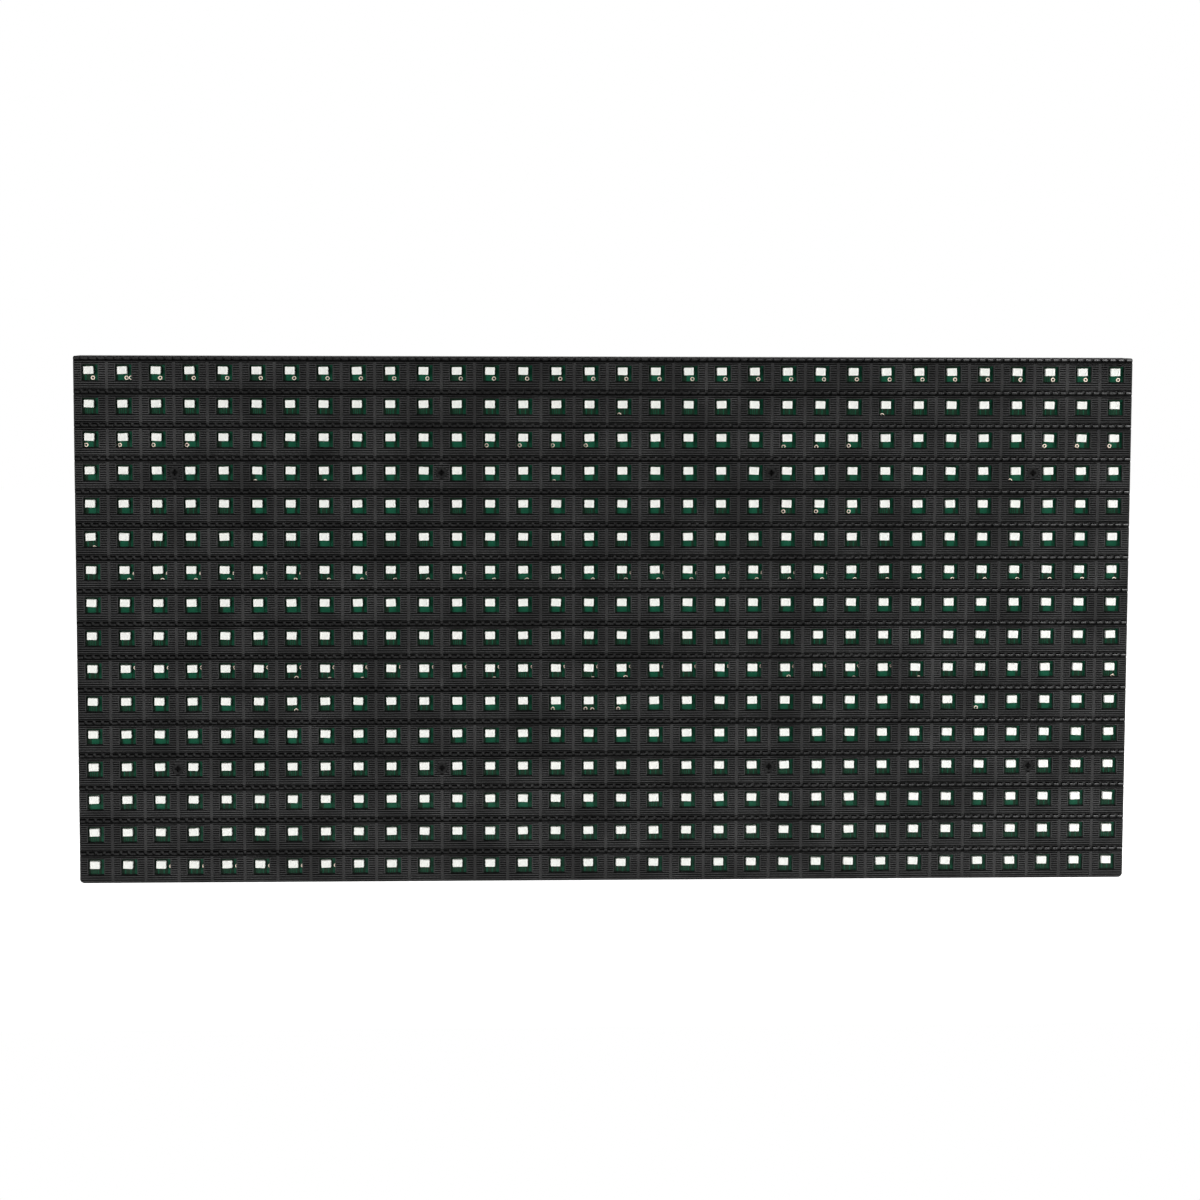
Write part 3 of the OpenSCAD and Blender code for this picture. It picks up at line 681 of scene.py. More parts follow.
lamp = {"length": 2.9, "width": 2.3, "height": 1.9, "waist": 0.45, "bevel": 0.09, "draft": 0.06, "cupR": 0.95,
        "cupDepth": 0.12, "cupTaper": 0.96, "cupSteps": 16, "leadIn": 0.1, "leadOut": 0.12, "leadBend": 0.066,
        "leadW": 0.62, "leadGap": 0.42, "leadH": 0.7, "solderToe": 0.07, "solderH": 0.3, "cornerFrom": 1.5}


def lampMesh():
    hx, hz, top, cut, draft = lamp["length"]/2, lamp["width"]/2, lamp["height"], lamp["bevel"], lamp["draft"]
    rings = []
    for grow, depth in ((-draft, 0.0), (0, top*lamp["waist"]), (-draft/2, top - cut), (-cut, top)):
        x, z = hx + grow, hz + grow
        outline = [(x, cut - z), (x, z - cut), (x - cut, z), (cut - x, z),
                   (-x, z - cut), (-x, cut - z), (cut - x, -z), (x - cut, -z)]
        rings.append([(*p, depth) for p in outline])
    steps, cupR = lamp["cupSteps"], lamp["cupR"]
    cup = turned([(cupR, top), (cupR*lamp["cupTaper"], top - lamp["cupDepth"])], steps, shift=0.5)
    body = [rings[0]] + skin(rings)
    quarter = steps//4
    for side in range(4):  # the rim's four faces, each from a straight edge to a quarter of the cup
        a, b, c = (rings[-1][(2*side + k) % 8] for k in range(3))
        arc = [cup[0][(side*quarter - quarter//2 + k) % steps] for k in range(quarter + 1)]
        body += [[a, b] + arc[::-1], [b, c, arc[-1]]]
    leads = []
    for side in (-1, 1):  # two leads at each end, bent down to the board, with a solder wedge
        inside, bend, toe = (side*(hx + out) for out in (-lamp["leadIn"], lamp["leadBend"], lamp["leadOut"]))
        line = [(inside, 0.0), (toe, 0.0), (toe, lamp["solderToe"]), (bend, lamp["solderH"]),
                (bend, lamp["leadH"]), (inside, lamp["leadH"])]
        for middle in (-(lamp["leadGap"] + lamp["leadW"])/2, (lamp["leadGap"] + lamp["leadW"])/2):
            leads += solid([[(x, middle + way*lamp["leadW"]/2, d) for x, d in line] for way in (-1, 1)])
    return meshFrom("lamp", body, skin(cup) + [cup[1]], leads)


def lampPlace(points):  # centre and turn of a CAD lamp, from the points of its top
    cx = (min(v.x for v in points) + max(v.x for v in points))/2
    cz = (min(v.z for v in points) + max(v.z for v in points))/2
    turns = []
    for v in points:
        if math.hypot(v.x - cx, v.z - cz) > lamp["cornerFrom"]:
            angle = math.atan2(abs(v.z - cz), abs(v.x - cx)) - math.atan2(lamp["width"], lamp["length"])
            turns.append(angle if (v.x - cx)*(v.z - cz) > 0 else -angle)
    return cx, cz, boardFront, 0, sum(turns)/len(turns)


lampShape = lampMesh()
lampTop = boardFront + lamp["height"] - slack
for row in range(panel["rows"]):
    nodeName = "led_row_%02d" % (row + 1)
    tops = [v.co/mm for v in nodes[nodeName].data.vertices if -v.co.y/mm > lampTop]
    columns = [cellCentre(col, row)[0] for col in range(panel["cols"])]
    places = [lampPlace([v for v in tops if abs(v.x - x) < pitch/2]) for x in columns]
    lamps = scatter("lamps%02d" % (row + 1), [lampShape], places, [lampWhite, lampResin, tin])
    addPiece("lamps_%02d" % (row + 1), lamps, "lamp_package", nodeName)
print("lamps:", panel["rows"], "rows of", len(lamps.polygons), "faces")


# Front of the board: plated holes and copper tracks, as far as the windows show them

via = {"padR": 0.64, "crownR": 0.6016, "mouthR": 0.352, "holeR": 0.32, "sunk": 0.03, "bottom": 0.01,
       "shoulder": 0.03, "rise": 0.05, "steps": 14}
viaRule = [  # row, columns, and the place from the cell's centre
    (1, range(1, 33), 0.85, -1.65), (1, (2,), 2.15, -1.6), (2, (17, 25), -1.3, -2.45),
    (3, (1, 2, 3, 4, 13, 14, 15, 16, 24, 30, 31, 32), -1.4, -1.75), (3, (22, 23), -1.3, -2.1),
    (4, (6, 15), -1.0, -2.65), (4, (8,), 0.0, -2.65), (4, (29,), -1.8, -2.3), (5, (22, 23, 24), -1.2, -1.75),
    (6, (1,), 0.6, -2.7), (7, range(2, 33), 0.9, -2.5), (7, (2, 3, 4, 5, 9), 2.55, -0.5),
    (7, (6, 7, 12, *range(17, 24)), 2.68, -0.45), (10, range(10, 26), 2.62, 0.85),
    (10, (8, 9, 13, 16, 24, 26), 0.95, -2.75), (10, range(2, 10), 2.45, 0.85),
    (10, (7, 17, 22, 32), 0.95, -2.4), (11, (15, 16, 17, 28), -1.25, -2.1), (11, (7, 16), 0.85, -2.3),
    (16, range(3, 9), 2.55, -0.05)]


def viaMesh():  # rounded pad, then the hole's wall and shallow bottom in painted shade
    line = [(via["padR"], -via["sunk"]), (via["padR"], via["shoulder"]), (via["crownR"], via["rise"]),
            (via["mouthR"], via["rise"]), (via["holeR"], via["bottom"])]
    loops = turned(line, via["steps"])
    return meshFrom("via", [loops[0]] + skin(loops[:4]), skin(loops[3:]) + [loops[-1]])


viaSpots = []
for row, columns, dx, dz in viaRule:
    for col in columns:
        x, z = cellCentre(col - 1, row - 1)
        viaSpots.append((x + dx, z + dz, boardFront))
addPiece("board_vias", scatter("vias", [viaMesh()], viaSpots, [viaGold, holeShade]), "gilt_pin")

track = {"rise": 0.035, "sunk": 0.02, "bevel": 0.05, "top": -0.3, "bottom": -3.1, "seed": 5}
rail = {"x": 2.0, "width": 0.9, "top": 2.9}  # feeds the lamp, at its right
trackSets = [  # x from the cell's centre and width of each track below the lamp
    [(0.2, 2.4)], [(-0.45, 2.5)], [(-0.2, 3.2)],  # wide pours
    [(-1.45, 0.22), (-0.85, 0.22), (-0.25, 0.22), (0.5, 0.3)], [(-1.3, 0.42), (0.35, 0.3)]]  # stripes
pourRows, stripeRows = (3, 4, 8, 12), (2, 9, 13, 15, 16)  # other rows have both


def trackMesh(lines):  # low bars with bevelled sides
    faces = []
    cut, bottom = track["bevel"], track["bottom"]
    below = [(*line, track["top"]) for line in lines]
    for x, width, top in [(rail["x"], rail["width"], rail["top"])] + below:
        x0, x1 = x - width/2, x + width/2
        faces += solid([oblong(x0, x1, bottom, top, -track["sunk"]),
                        oblong(x0 + cut, x1 - cut, bottom + cut, top - cut, track["rise"])])
    return meshFrom("tracks", faces)


chance = random.Random(track["seed"])
trackSpots = []
for row, col, x, z in grid:
    sets = (0, 3) if row + 1 in pourRows else (3, 5) if row + 1 in stripeRows else (0, 5)
    trackSpots.append((x, z, boardFront, chance.randrange(*sets)))
tracks = scatter("tracks", [trackMesh(lines) for lines in trackSets], trackSpots, [trackGreen])
addPiece("board_tracks", tracks, "board_laminate")
print("board front:", len(viaSpots), "vias,", len(tracks.polygons), "track faces")


# Rear of the board: pads and solder at the chip leads, tracks, and the far ends of the plated holes

chipBodyW = {"shift_register": 3.9, "row_decoder": 3.9, "line_buffer": 7.5, "row_switch": 3.9}  # mm
chipNames = [name for name in nodes if name.startswith(tuple(chipBodyW))]
headers = ["data_in_header", "data_out_header", "power_header"]
cans = ["reservoir_capacitor_1", "reservoir_capacitor_2"]
leadPad = {"pitch": 1.27, "past": 1.42, "width": 0.62, "inner": 0.75, "outer": 0.45, "sunk": 0.02,
           "rise": 0.035, "solder": 0.16, "solderFrom": 0.0175, "toeIn": 0.2, "toeOut": 0.27, "toeL": 0.36,
           "trackW": 0.28, "trackLap": 0.05, "trackRise": 0.028, "short": 1.5, "long": 2.9,
           "viaR": 0.36, "viaHole": 0.15, "viaRise": 0.0385, "viaAway": 0.288, "viaSteps": 8}


def bar(x0, x1, z0, z1, low, high, cut=0.0):  # behind the board, between two heights, its far edges chamfered
    waist = [oblong(x0, x1, z0, z1, cut - high)] if cut else []
    crown = oblong(x0 + cut, x1 - cut, z0 + cut, z1 - cut, -high)
    return solid([oblong(x0, x1, z0, z1, -low), *waist, crown])


def platedRing(outer, inner, steps, rise, sunk, z=0.0, middle=0.3):  # the ring, and its lower middle in painted hole shade
    loops = turned([(outer, sunk), (outer, -rise), (inner, -rise), (inner, -rise*middle)], steps, z)
    return [loops[0]] + skin(loops), [loops[-1]]


def leadPadMesh(run):  # pad, solder, track and via of one lead, from the lead's toe upwards
    w, t, sunk, rise = leadPad["width"]/2, leadPad["trackW"]/2, leadPad["sunk"], leadPad["rise"]
    pad = bar(-w, w, -leadPad["inner"], leadPad["outer"], -sunk, rise)
    toe = [(-leadPad["toeIn"], 0.0, leadPad["solder"]), (leadPad["toeIn"], 0.0, leadPad["solder"]),
           (leadPad["toeOut"], leadPad["toeL"], rise), (-leadPad["toeOut"], leadPad["toeL"], rise)]
    solder = solid([[(x, z, -leadPad["solderFrom"]) for x, z, h in toe], [(x, z, -h) for x, z, h in toe]])
    line = bar(-t, t, leadPad["outer"] - leadPad["trackLap"], run, -sunk, leadPad["trackRise"])
    ring, middle = platedRing(leadPad["viaR"], leadPad["viaHole"], leadPad["viaSteps"], leadPad["viaRise"],
                              sunk, run + leadPad["viaAway"])
    return meshFrom("leadPad", line, pad + solder + ring, middle)


leadSpots = []
for name in chipNames:
    low, high = boxOf(name)
    count = round((high.x - low.x - leadPad["past"])/leadPad["pitch"]) + 1
    for i in range(count):
        x = (low.x + high.x)/2 + (i - (count - 1)/2)*leadPad["pitch"]
        leadSpots.append((x, high.z, boardRear, i % 2))
        leadSpots.append((x, low.z, boardRear, (i + 1) % 2, math.pi))
leadShapes = [leadPadMesh(leadPad["short"]), leadPadMesh(leadPad["long"])]
addPiece("chip_pads", scatter("leadPads", leadShapes, leadSpots, [trackGreen, tin, holeShade]), "tinned_pin")

rearVia = {"padR": 0.46, "holeR": 0.2, "steps": 10, "rise": 0.055, "sunk": 0.02, "dx": 0.85, "dz": -1.65}
rearViaShape = meshFrom("rearVia", *platedRing(
    rearVia["padR"], rearVia["holeR"], rearVia["steps"], rearVia["rise"], rearVia["sunk"]))
rearSpots = [(x + rearVia["dx"], z + rearVia["dz"], boardRear) for row, col, x, z in grid]
addPiece("board_rear_vias", scatter("rearVias", [rearViaShape], rearSpots, [viaGold, holeShade]), "gilt_pin")


def ribbon(points, width, rise, cut, sunk=0.02):  # a low strip along the points, mitred at its corners
    spots = [Vector(p) for p in points]
    rings = []
    for i, spot in enumerate(spots):
        before = (spot - spots[i - 1]).normalized() if i else (spots[1] - spot).normalized()
        after = (spots[i + 1] - spot).normalized() if i < len(spots) - 1 else before
        ahead = before + after
        side = Vector((-ahead.y, ahead.x)).normalized()*2/max(0.6, ahead.length)
        across = ((-width/2, -sunk), (cut - width/2, rise), (width/2 - cut, rise), (width/2, -sunk))
        rings.append([(*(spot + side*k), boardRear - h) for k, h in across])
    return solid(rings)


def addRibbons(name, lines, rise, cut, finish):  # lines as points and width
    mesh = meshFrom(name, [face for points, width in lines for face in ribbon(points, width, rise, cut)])
    mesh.materials.append(finish)
    addPiece(name, mesh, "board_laminate")


def solidBoxes(name):  # the box of each separate solid in a CAD node, in mm
    work = merged(nodes[name].data, cadGap)
    left, boxes = set(work.verts), []
    while left:
        stack, group = [left.pop()], []
        while stack:
            vert = stack.pop()
            group.append(vert.co/mm)
            linked = left.intersection(edge.other_vert(vert) for edge in vert.link_edges)
            left -= linked
            stack += linked
        boxes.append([[round(pick(p[i] for p in group), 3) for i in range(3)] for pick in (min, max)])
    work.free()
    return sorted(boxes)


rearTrack = {"rise": 0.035, "cut": 0.06, "column": 0.26, "clear": 0.5,
             "bus": 0.36, "busPitch": 0.8, "busLines": 4, "busAway": 9.0, "busReach": 128.0}
power = {"width": 3.2, "line": [(7, 1.9), (22, 1.9), (24, 3.9), (38, 3.9), (41, 6.9)],
         "endX": 41, "up": 29, "down": 9.5}
data = {"width": 0.32, "pitch": 2.54, "lines": 8, "start": 1.0, "out": 3.35, "outStep": 0.7, "corner": 0.5,
        "bend": 21.4, "bendStep": 1.1, "shift": 2.0, "end": 64.0}


def busRuns():  # along each row of registers, below the uppermost row and above the others
    levels = {round((low.z + high.z)/2, 1) for low, high in
              (boxOf(name) for name in chipNames if name.startswith("shift_register"))}
    for level in sorted(levels):
        inward = -1 if level > halfH/2 else 1
        for k in range(rearTrack["busLines"]):
            z = level + inward*(rearTrack["busAway"] + k*rearTrack["busPitch"])
            yield [(-rearTrack["busReach"], z), (rearTrack["busReach"], z)], rearTrack["bus"]


def powerRuns(side):
    for way, end in ((1, power["up"]), (-1, power["down"])):
        yield [(side*x, way*z) for x, z in power["line"] + [(power["endX"], end)]], power["width"]


def dataRuns(side, header):  # from the header's outer pins along the module's end
    edge = max(abs(corner.x) for corner in boxOf(header))
    half = (data["lines"] - 1)/2
    for k in range(data["lines"]):
        near, flip = abs(k - half), (1 if k > half else -1)
        z, bend = near*data["pitch"], data["bend"] - data["bendStep"]*near
        out = edge + data["out"] - data["outStep"]*near
        line = [(edge - data["start"], z), (out - data["corner"], z), (out, z + data["corner"]), (out, bend),
                (out - data["shift"], bend + data["shift"]), (out - data["shift"], data["end"] - k % 4)]
        yield [(side*x, flip*z) for x, z in line], data["width"]


def columnRuns(taken):  # down each column, as far as nothing is in the way
    clear = rearTrack["clear"]
    for col in range(panel["cols"]):
        begun = None
        for x, z, depth in rearSpots[col::panel["cols"]]:
            met = [x0 - clear < x < x1 + clear and z0 - clear < z and z - pitch < z1 + clear
                   for x0, x1, z0, z1 in taken]
            free = z - pitch > -halfH and not any(met)
            if free and begun is None:
                begun = z
            elif begun is not None and not free:
                yield [(x, begun), (x, z)], rearTrack["column"]
                begun = None


runs = list(busRuns())  # points and width of each track
for side, header in ((1, "data_in_header"), (-1, "data_out_header")):
    runs += [*powerRuns(side), *dataRuns(side, header)]
taken = []  # places, as x and z ranges, that the column lines keep clear of
for points, width in runs:
    for ends in zip(points, points[1:]):
        taken.append([pick(p[i] for p in ends) + way*width/2
                      for i in (0, 1) for pick, way in ((min, -1), (max, 1))])
past = leadPad["long"] + 2*leadPad["viaR"]
for low, high in map(boxOf, chipNames):
    taken.append([low.x, high.x, low.z - past, high.z + past])
for name in ["resistor_arrays", "ceramic_capacitors", *cans, *headers]:
    taken += [[low[0], high[0], low[2], high[2]] for low, high in solidBoxes(name)]
runs += columnRuns(taken)
addRibbons("board_rear_tracks", runs, rearTrack["rise"], rearTrack["cut"], trackGreen)
print("board rear:", len(leadSpots), "chip leads,", len(rearSpots), "vias,", len(runs), "tracks")

silk = {"width": 0.22, "rise": 0.045, "cut": 0.02, "away": 0.5, "leadRow": 1.6}
outlines = []
for name in chipNames + headers:
    low, high = boxOf(name)
    x0, x1 = low.x - silk["away"], high.x + silk["away"]
    z0, z1 = low.z - silk["away"], high.z + silk["away"]
    if name in chipNames:  # a line at each end of the chip, between its rows of leads
        outlines += [[(x, z0 + silk["leadRow"]), (x, z1 - silk["leadRow"])] for x in (x0, x1)]
    else:
        corners = [(x0, z0), (x1, z0), (x1, z1), (x0, z1)]
        outlines += zip(corners, corners[1:] + corners[:1])
silkLines = [(ends, silk["width"]) for ends in outlines]
addRibbons("board_outlines", silkLines, silk["rise"], silk["cut"], silkInk)


# Small parts on the rear: resistor arrays and ceramic capacitors with plated ends, and drawn cans

resistorArray = {"inset": 0.08, "cut": 0.06, "perSide": 4, "endShare": 0.14, "endL": 0.32, "endRise": 0.03,
                 "endCut": 0.03}
capacitor = {"capShare": 0.22, "capCut": 0.06, "inset": 0.05, "smaller": 0.03, "cut": 0.05}
can = {"baseH": 1.2, "chamfer": 1.2, "radius": 3.15, "sunk": 0.1, "foot": 0.15, "beadH": 2.1, "bead": 0.28,
       "beadFlat": 0.1, "beadReach": 0.35, "shoulder": 0.5, "steps": 32, "mark": 1.15, "markSteps": 12,
       "film": 0.02, "ventL": 3.6, "ventW": 0.16, "tabW": 0.9, "tabIn": 0.5, "tabOut": 0.6, "tabH": 0.2}


def arrayMesh(w, d, h):  # glazed top, four plated ends along each long side
    count, endW, endL = resistorArray["perSide"], w*resistorArray["endShare"], resistorArray["endL"]
    top, deep = h + resistorArray["endRise"], d/2 - resistorArray["inset"]
    ends = []
    for i in range(count):
        x0 = (i - (count - 1)/2)*w/count - endW/2
        for z0 in (-d/2, d/2 - endL):
            ends += bar(x0, x0 + endW, z0, z0 + endL, 0.0, top, resistorArray["endCut"])
    body = bar(-w/2, w/2, -deep, deep, 0.0, h, resistorArray["cut"])
    return meshFrom("resistorArray", body, ends)


def ceramicMesh(w, d, h):  # plated caps a little larger than the body
    cap, less = d*capacitor["capShare"], capacitor["smaller"]
    wide, deep = w/2 - less, d/2 - capacitor["inset"]
    caps = []
    for z0 in (-d/2, d/2 - cap):
        caps += bar(-w/2, w/2, z0, z0 + cap, 0.0, h, capacitor["capCut"])
    body = bar(-wide, wide, -deep, deep, 0.0, h - less, capacitor["cut"])
    return meshFrom("ceramicCapacitor", body, caps)


def plate(points, low, high):  # a flat plate behind the board, between two heights
    return solid([[(x, z, -h) for x, z in points] for h in (low, high)])


def canMesh(wide, tall):  # with a rolled bead and vent lines, on a moulded base; ink on the negative side; the vent lines are raised black bars, painted shade for the can's scored vent grooves
    h, cut, r, shoulder, sunk = wide/2, can["chamfer"], can["radius"], can["shoulder"], can["sunk"]
    bead, flat, reach = can["beadH"], can["beadFlat"], can["beadReach"]
    line = [(r - sunk, can["baseH"] - sunk), (r, can["baseH"] + can["foot"]), (r, bead - reach),
            (r - can["bead"], bead - flat), (r - can["bead"], bead + flat), (r, bead + reach),
            (r, tall - shoulder)]
    for turn in map(math.radians, (30, 60, 90)):
        line.append((r - shoulder + shoulder*math.cos(turn), tall - shoulder + shoulder*math.sin(turn)))
    metal = solid(turned([(x, -y) for x, y in line], can["steps"]))
    for side in (-1, 1):
        x0, x1 = side*(h - can["tabIn"]), side*(h + can["tabOut"])
        metal += bar(x0, x1, -can["tabW"]/2, can["tabW"]/2, 0, can["tabH"])
    topR = r - shoulder
    sweep = math.acos(can["mark"]/topR)
    arc = [sweep*(2*i/can["markSteps"] - 1) for i in range(can["markSteps"] + 1)]
    foot = [(-h, -h), (h - cut, -h), (h, cut - h), (h, h - cut), (h - cut, h), (-h, h)]
    base = plate(foot, 0, can["baseH"])
    ink = plate([(-topR*math.cos(t), topR*math.sin(t)) for t in arc], tall - sunk, tall + can["film"])
    w, long, ventTop = can["ventW"]/2, can["ventL"]/2, tall + can["film"]/2
    # painted shade: black bars stand for the shade in the can's scored vent grooves
    vents = bar(-can["mark"], long, -w, w, tall - sunk, ventTop)
    vents += bar(w, 3*w, -long, long, tall - sunk, ventTop)
    return meshFrom("can", metal, base + ink, vents)


for name, build, slotName, body in (("resistor_arrays", arrayMesh, "resistor_glaze", resistorGlaze),
                                    ("ceramic_capacitors", ceramicMesh, "capacitor_ceramic", ceramic)):
    boxes = solidBoxes(name)
    low, high = boxes[0]
    shape = build(high[0] - low[0], high[2] - low[2], high[1] - low[1])
    spots = [((a[0] + b[0])/2, (a[2] + b[2])/2, boardRear) for a, b in boxes]
    addPiece(name + "_detail", scatter(name, [shape], spots, [body, tin]), slotName, name)
low, high = boxOf(cans[0])
canShape = canMesh(high.x - low.x, high.y - low.y)
canSpots = [((a.x + b.x)/2, (a.z + b.z)/2, boardRear) for a, b in map(boxOf, cans)]
canPair = scatter("cans", [canShape], canSpots, [aluminium, headerPlastic, chipResin])
addPiece("reservoir_capacitors_detail", canPair, "capacitor_can", *cans)
print("small parts: made")


# Finishes of the CAD nodes

def dress(name, *finishes, second=None):  # second: says which faces get the second finish
    mesh = nodes[name].data
    mesh.materials.clear()
    for finish in finishes:
        mesh.materials.append(finish)
    if second:
        for face in mesh.polygons:
            face.material_index = int(second(face))


screwLacquer = {"colour": "#191919", "other": "#282828", "rough": 0.55, "grit": 0.35, "drift": 1.0,
                "grain": 0.4, "shine": 0.07}
# painted shade: the lacquer goes near-black within radius of each screw's centre, fading out to clearR; faces
# within recessR take the painted-shadow black
screwRecessShade = {"colour": "#020202", "radius": 0.6, "clearR": 1.05, "recessR": 0.65}  # mm


def lacqueredSteel(name):  # black lacquer, as dull as the mask, with painted shade darkening it towards the recess
    material = mouldedPlastic(name, **screwLacquer)
    tree = material.node_tree
    base = tree.nodes["Color Ramp"].outputs["Color"]
    place = tree.nodes["Texture Coordinate"].outputs["Object"]
    folded = addNode(tree, "ShaderNodeVectorMath", {0: place}, operation="ABSOLUTE").outputs["Vector"]
    near = 1.0  # metres, past any screw
    for x, z in sorted({(abs(x), abs(z)) for x, z in screws}):
        centre = Vector((x, landLevel, z))*mm
        gap = addNode(tree, "ShaderNodeVectorMath", {0: folded, 1: centre}, operation="DISTANCE")
        nearest = addNode(tree, "ShaderNodeMath", {0: gap.outputs["Value"], 1: near}, operation="MINIMUM")
        near = nearest.outputs["Value"]
    unshaded = addNode(tree, "ShaderNodeMapRange", {
        "Value": near, "From Min": screwRecessShade["radius"]*mm, "From Max": screwRecessShade["clearR"]*mm})
    colour = addNode(tree, "ShaderNodeMix", {
        "Factor": unshaded.outputs["Result"], 6: hexColour(screwRecessShade["colour"]), 7: base}, data_type="RGBA")
    setInputs(tree, tree.nodes["Principled BSDF"], {"Base Color": colour.outputs[2]})
    return material


def inRecess(face):
    across, up = face.center.x/mm, face.center.z/mm
    return min(math.hypot(across - x, up - z) for x, z in screws) < screwRecessShade["recessR"]


dress("circuit_board", boardGreen, frontGreen, second=lambda face: face.normal.y < -0.5)
# the screws' recess faces take the painted-shadow black
dress("mask_screws", lacqueredSteel("blackLacqueredSteel"), paintedShadePlastic, second=inRecess)
dress("front_mask", maskPlastic)
dress("resistor_arrays", resistorGlaze)
dress("ceramic_capacitors", ceramic)
for row in range(panel["rows"]):
    dress("led_row_%02d" % (row + 1), lampWhite)
for name in cans:  # the moulded base is next to the board
    baseTop = boardRear - can["baseH"] - slack
    dress(name, aluminium, headerPlastic, second=lambda face: -face.center.y/mm > baseTop)
for name in chipNames:  # the leads stand out past the body
    low, high = boxOf(name)
    middle = (low.z + high.z)/2
    reach = next(width for kind, width in chipBodyW.items() if name.startswith(kind))/2 + slack
    dress(name, chipResin, tin, second=lambda face: abs(face.center.z/mm - middle) > reach)


# Mouldings and metal parts with their sharp edges rounded, as the tool leaves them

bevel = {"sharpFrom": 35, "flatTo": 0.5, "segments": 2}  # degrees
softParts = [  # node, rounding in mm, slot, finish
    ("rear_case", 0.35, "case_plastic", casePlastic), ("threaded_inserts", 0.15, "insert_brass", brass),
    ("data_in_header", 0.2, "header_plastic", headerPlastic),
    ("data_out_header", 0.2, "header_plastic", headerPlastic),
    ("data_in_pins", 0.12, "gilt_pin", giltPin), ("data_out_pins", 0.12, "gilt_pin", giltPin),
    ("power_header", 0.25, "power_plastic", nylon), ("power_pins", 0.2, "tinned_pin", tin)]


def softened(name, width):  # a merged copy of a CAD node's mesh, bevelled along its sharp edges
    mesh = nodes[name].data.copy()
    work = merged(mesh, cadGap)
    flat, limit = math.radians(bevel["flatTo"]), math.radians(bevel["sharpFrom"])
    bmesh.ops.dissolve_limit(work, angle_limit=flat, verts=work.verts, edges=work.edges)
    sharp = [e for e in work.edges if e.is_manifold and e.calc_face_angle() > limit]
    bmesh.ops.bevel(work, geom=sharp, offset=width*mm, offset_type="OFFSET", segments=bevel["segments"],
                    profile=0.5, affect="EDGES", clamp_overlap=False)
    work.to_mesh(mesh)
    work.free()
    return mesh


for name, width, slotName, finish in softParts:
    dress(name, finish)
    rounded = softened(name, width)
    addPiece(name + "_rounded", rounded, slotName, name)
    print("rounded:", name, len(rounded.polygons), "faces")


# Camera, from a fit of the lamps' places in the photograph

camera = {"place": (-45.15, -901.1, 92.4), "right": (0.99883, -0.04831, 0.00324),
          "up": (0.00143, 0.09651, 0.99533), "sensor": 36.0,  # mm
          "focus": 2936.2, "frame": 1200}  # pixels
lens = bpy.data.cameras.new("camera")
lens.sensor_fit = "HORIZONTAL"
lens.sensor_width = camera["sensor"]
lens.lens = camera["sensor"]*camera["focus"]/camera["frame"]
lens.clip_start = 0.01
view = bpy.data.objects.new("camera", lens)
scene.collection.objects.link(view)
right = Vector(camera["right"]).normalized()
back = right.cross(Vector(camera["up"])).normalized()
turn = Matrix((right, back.cross(right), back)).transposed().to_4x4()
view.matrix_world = Matrix.Translation(Vector(camera["place"])*mm) @ turn
scene.camera = view


# White floor and surround, and soft studio light

def seenRays(tree, share=1.0):  # 1 for what the eye sees, and a share of it for what mirrors show
    path = addNode(tree, "ShaderNodeLightPath").outputs
    values = path["Is Glossy Ray"]
    for operation, other in (("MAXIMUM", path["Is Transmission Ray"]), ("MULTIPLY", share),
                             ("MAXIMUM", path["Is Camera Ray"])):
        values = addNode(tree, "ShaderNodeMath", {0: values, 1: other}, operation=operation).outputs["Value"]
    return values


paper = {"wide": 2000, "behind": 2000, "before": 200, "white": "#ececec", "rough": 0.9, "glow": 0.8}  # mm


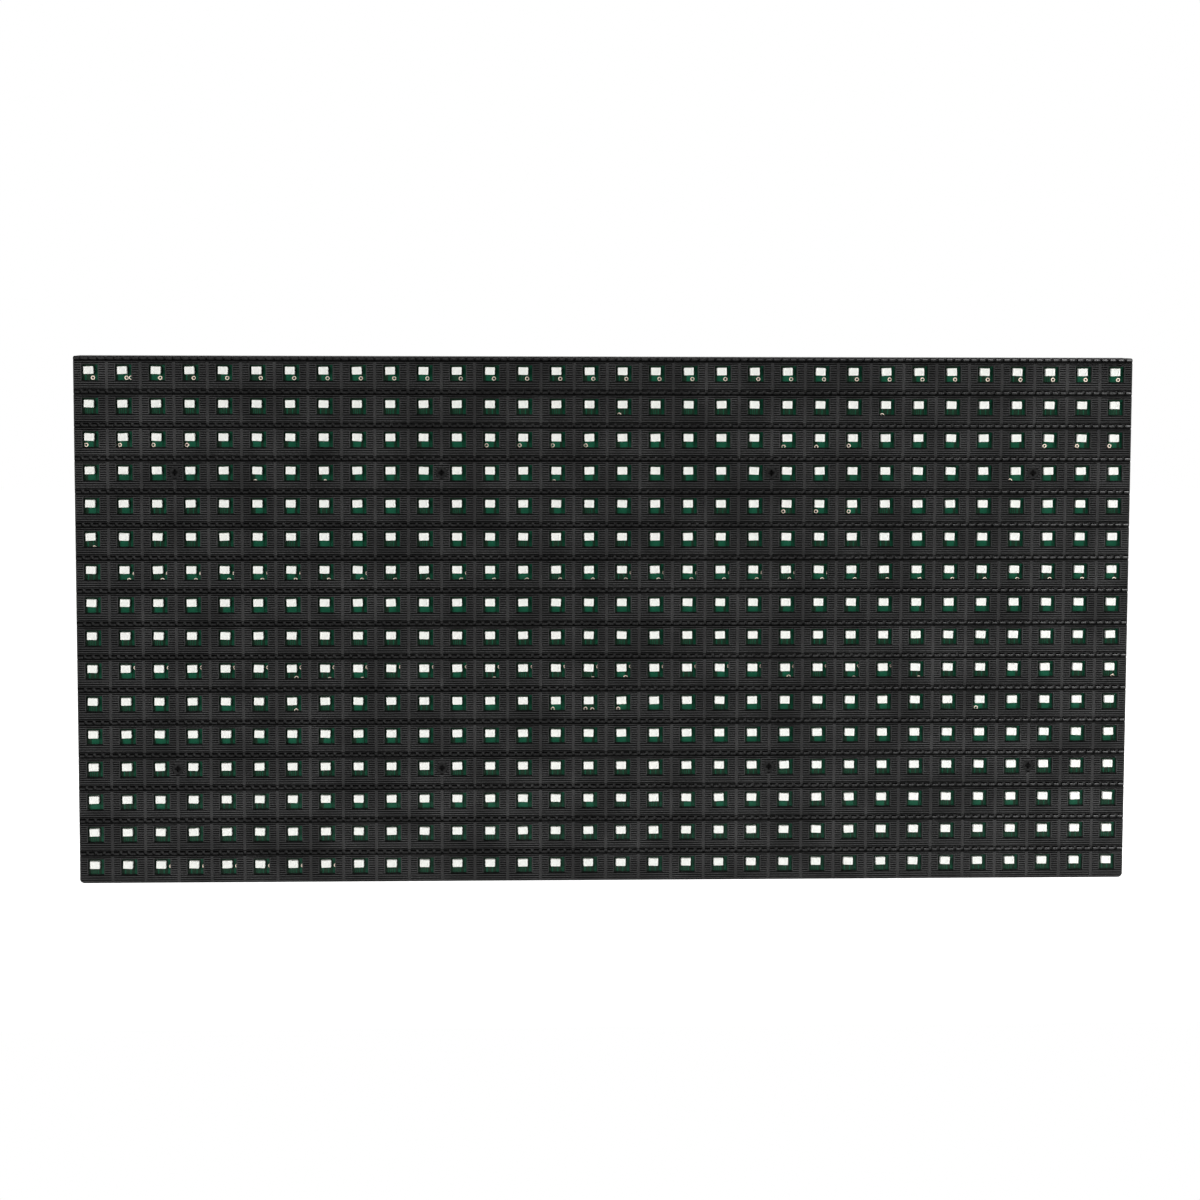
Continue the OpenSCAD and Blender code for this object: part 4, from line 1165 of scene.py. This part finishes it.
def paperFloor(name):  # matt white paper; to the eye and in mirrors it glows to white and keeps a soft shadow
    material, tree = newMaterial(name)[:2]
    glow = addNode(tree, "ShaderNodeMath", {0: seenRays(tree), 1: paper["glow"]}, operation="MULTIPLY")
    setInputs(tree, tree.nodes["Principled BSDF"], {
        "Base Color": hexColour(paper["white"]), "Roughness": paper["rough"], "Emission Color": (1, 1, 1, 1),
        "Emission Strength": glow.outputs["Value"]})
    return material


corners = oblong(-paper["wide"], paper["wide"], -paper["behind"], paper["before"], -halfH)
floorMesh = meshFrom("floor", [[(x, z, depth) for x, depth, z in corners]])
floorMesh.materials.append(paperFloor("whitePaperFloor"))
floor = bpy.data.objects.new("floor", floorMesh)
scene.collection.objects.link(floor)

studio = {"front": 0.04, "behind": 0.6, "blend": 0.3}  # light on the viewer's and on the backdrop's side
world = bpy.data.worlds.new("studio")
scene.world = world
world.use_nodes = True
studioTree = world.node_tree
ray = addNode(studioTree, "ShaderNodeTexCoord").outputs["Generated"]
away = addNode(studioTree, "ShaderNodeSeparateXYZ", {"Vector": ray}).outputs["Y"]
backdrop = addNode(studioTree, "ShaderNodeMapRange", {
    "Value": away, "From Min": -studio["blend"], "From Max": studio["blend"]}).outputs["Result"]
room = addNode(studioTree, "ShaderNodeMapRange", {
    "Value": backdrop, "To Min": studio["front"], "To Max": studio["behind"]}).outputs["Result"]
seen = seenRays(studioTree, backdrop)
level = addNode(studioTree, "ShaderNodeMath", {0: seen, 1: room}, operation="MAXIMUM").outputs["Value"]
setInputs(studioTree, studioTree.nodes["Background"], {"Color": (1, 1, 1, 1), "Strength": level})


def softbox(name, place, aim, size, watts):  # metres
    light = bpy.data.lights.new(name, "AREA")
    light.shape = "RECTANGLE"
    light.size, light.size_y = size
    light.energy = watts
    box = bpy.data.objects.new(name, light)
    box.location = place
    box.rotation_euler = (Vector(aim) - Vector(place)).to_track_quat("-Z", "Y").to_euler()
    scene.collection.objects.link(box)


softbox("keyRight", (0.55, -0.55, 0.08), (0.02, 0, 0), (0.35, 0.35), 3.5)
softbox("keyLeft", (-0.52, -0.6, 0.12), (-0.02, 0, 0), (0.35, 0.35), 3.2)
softbox("overRight", (0.36, 0.0, 0.62), (0.12, 0, 0), (0.4, 0.25), 4.0)
print("studio: lit")

scene.view_settings.view_transform = "Standard"
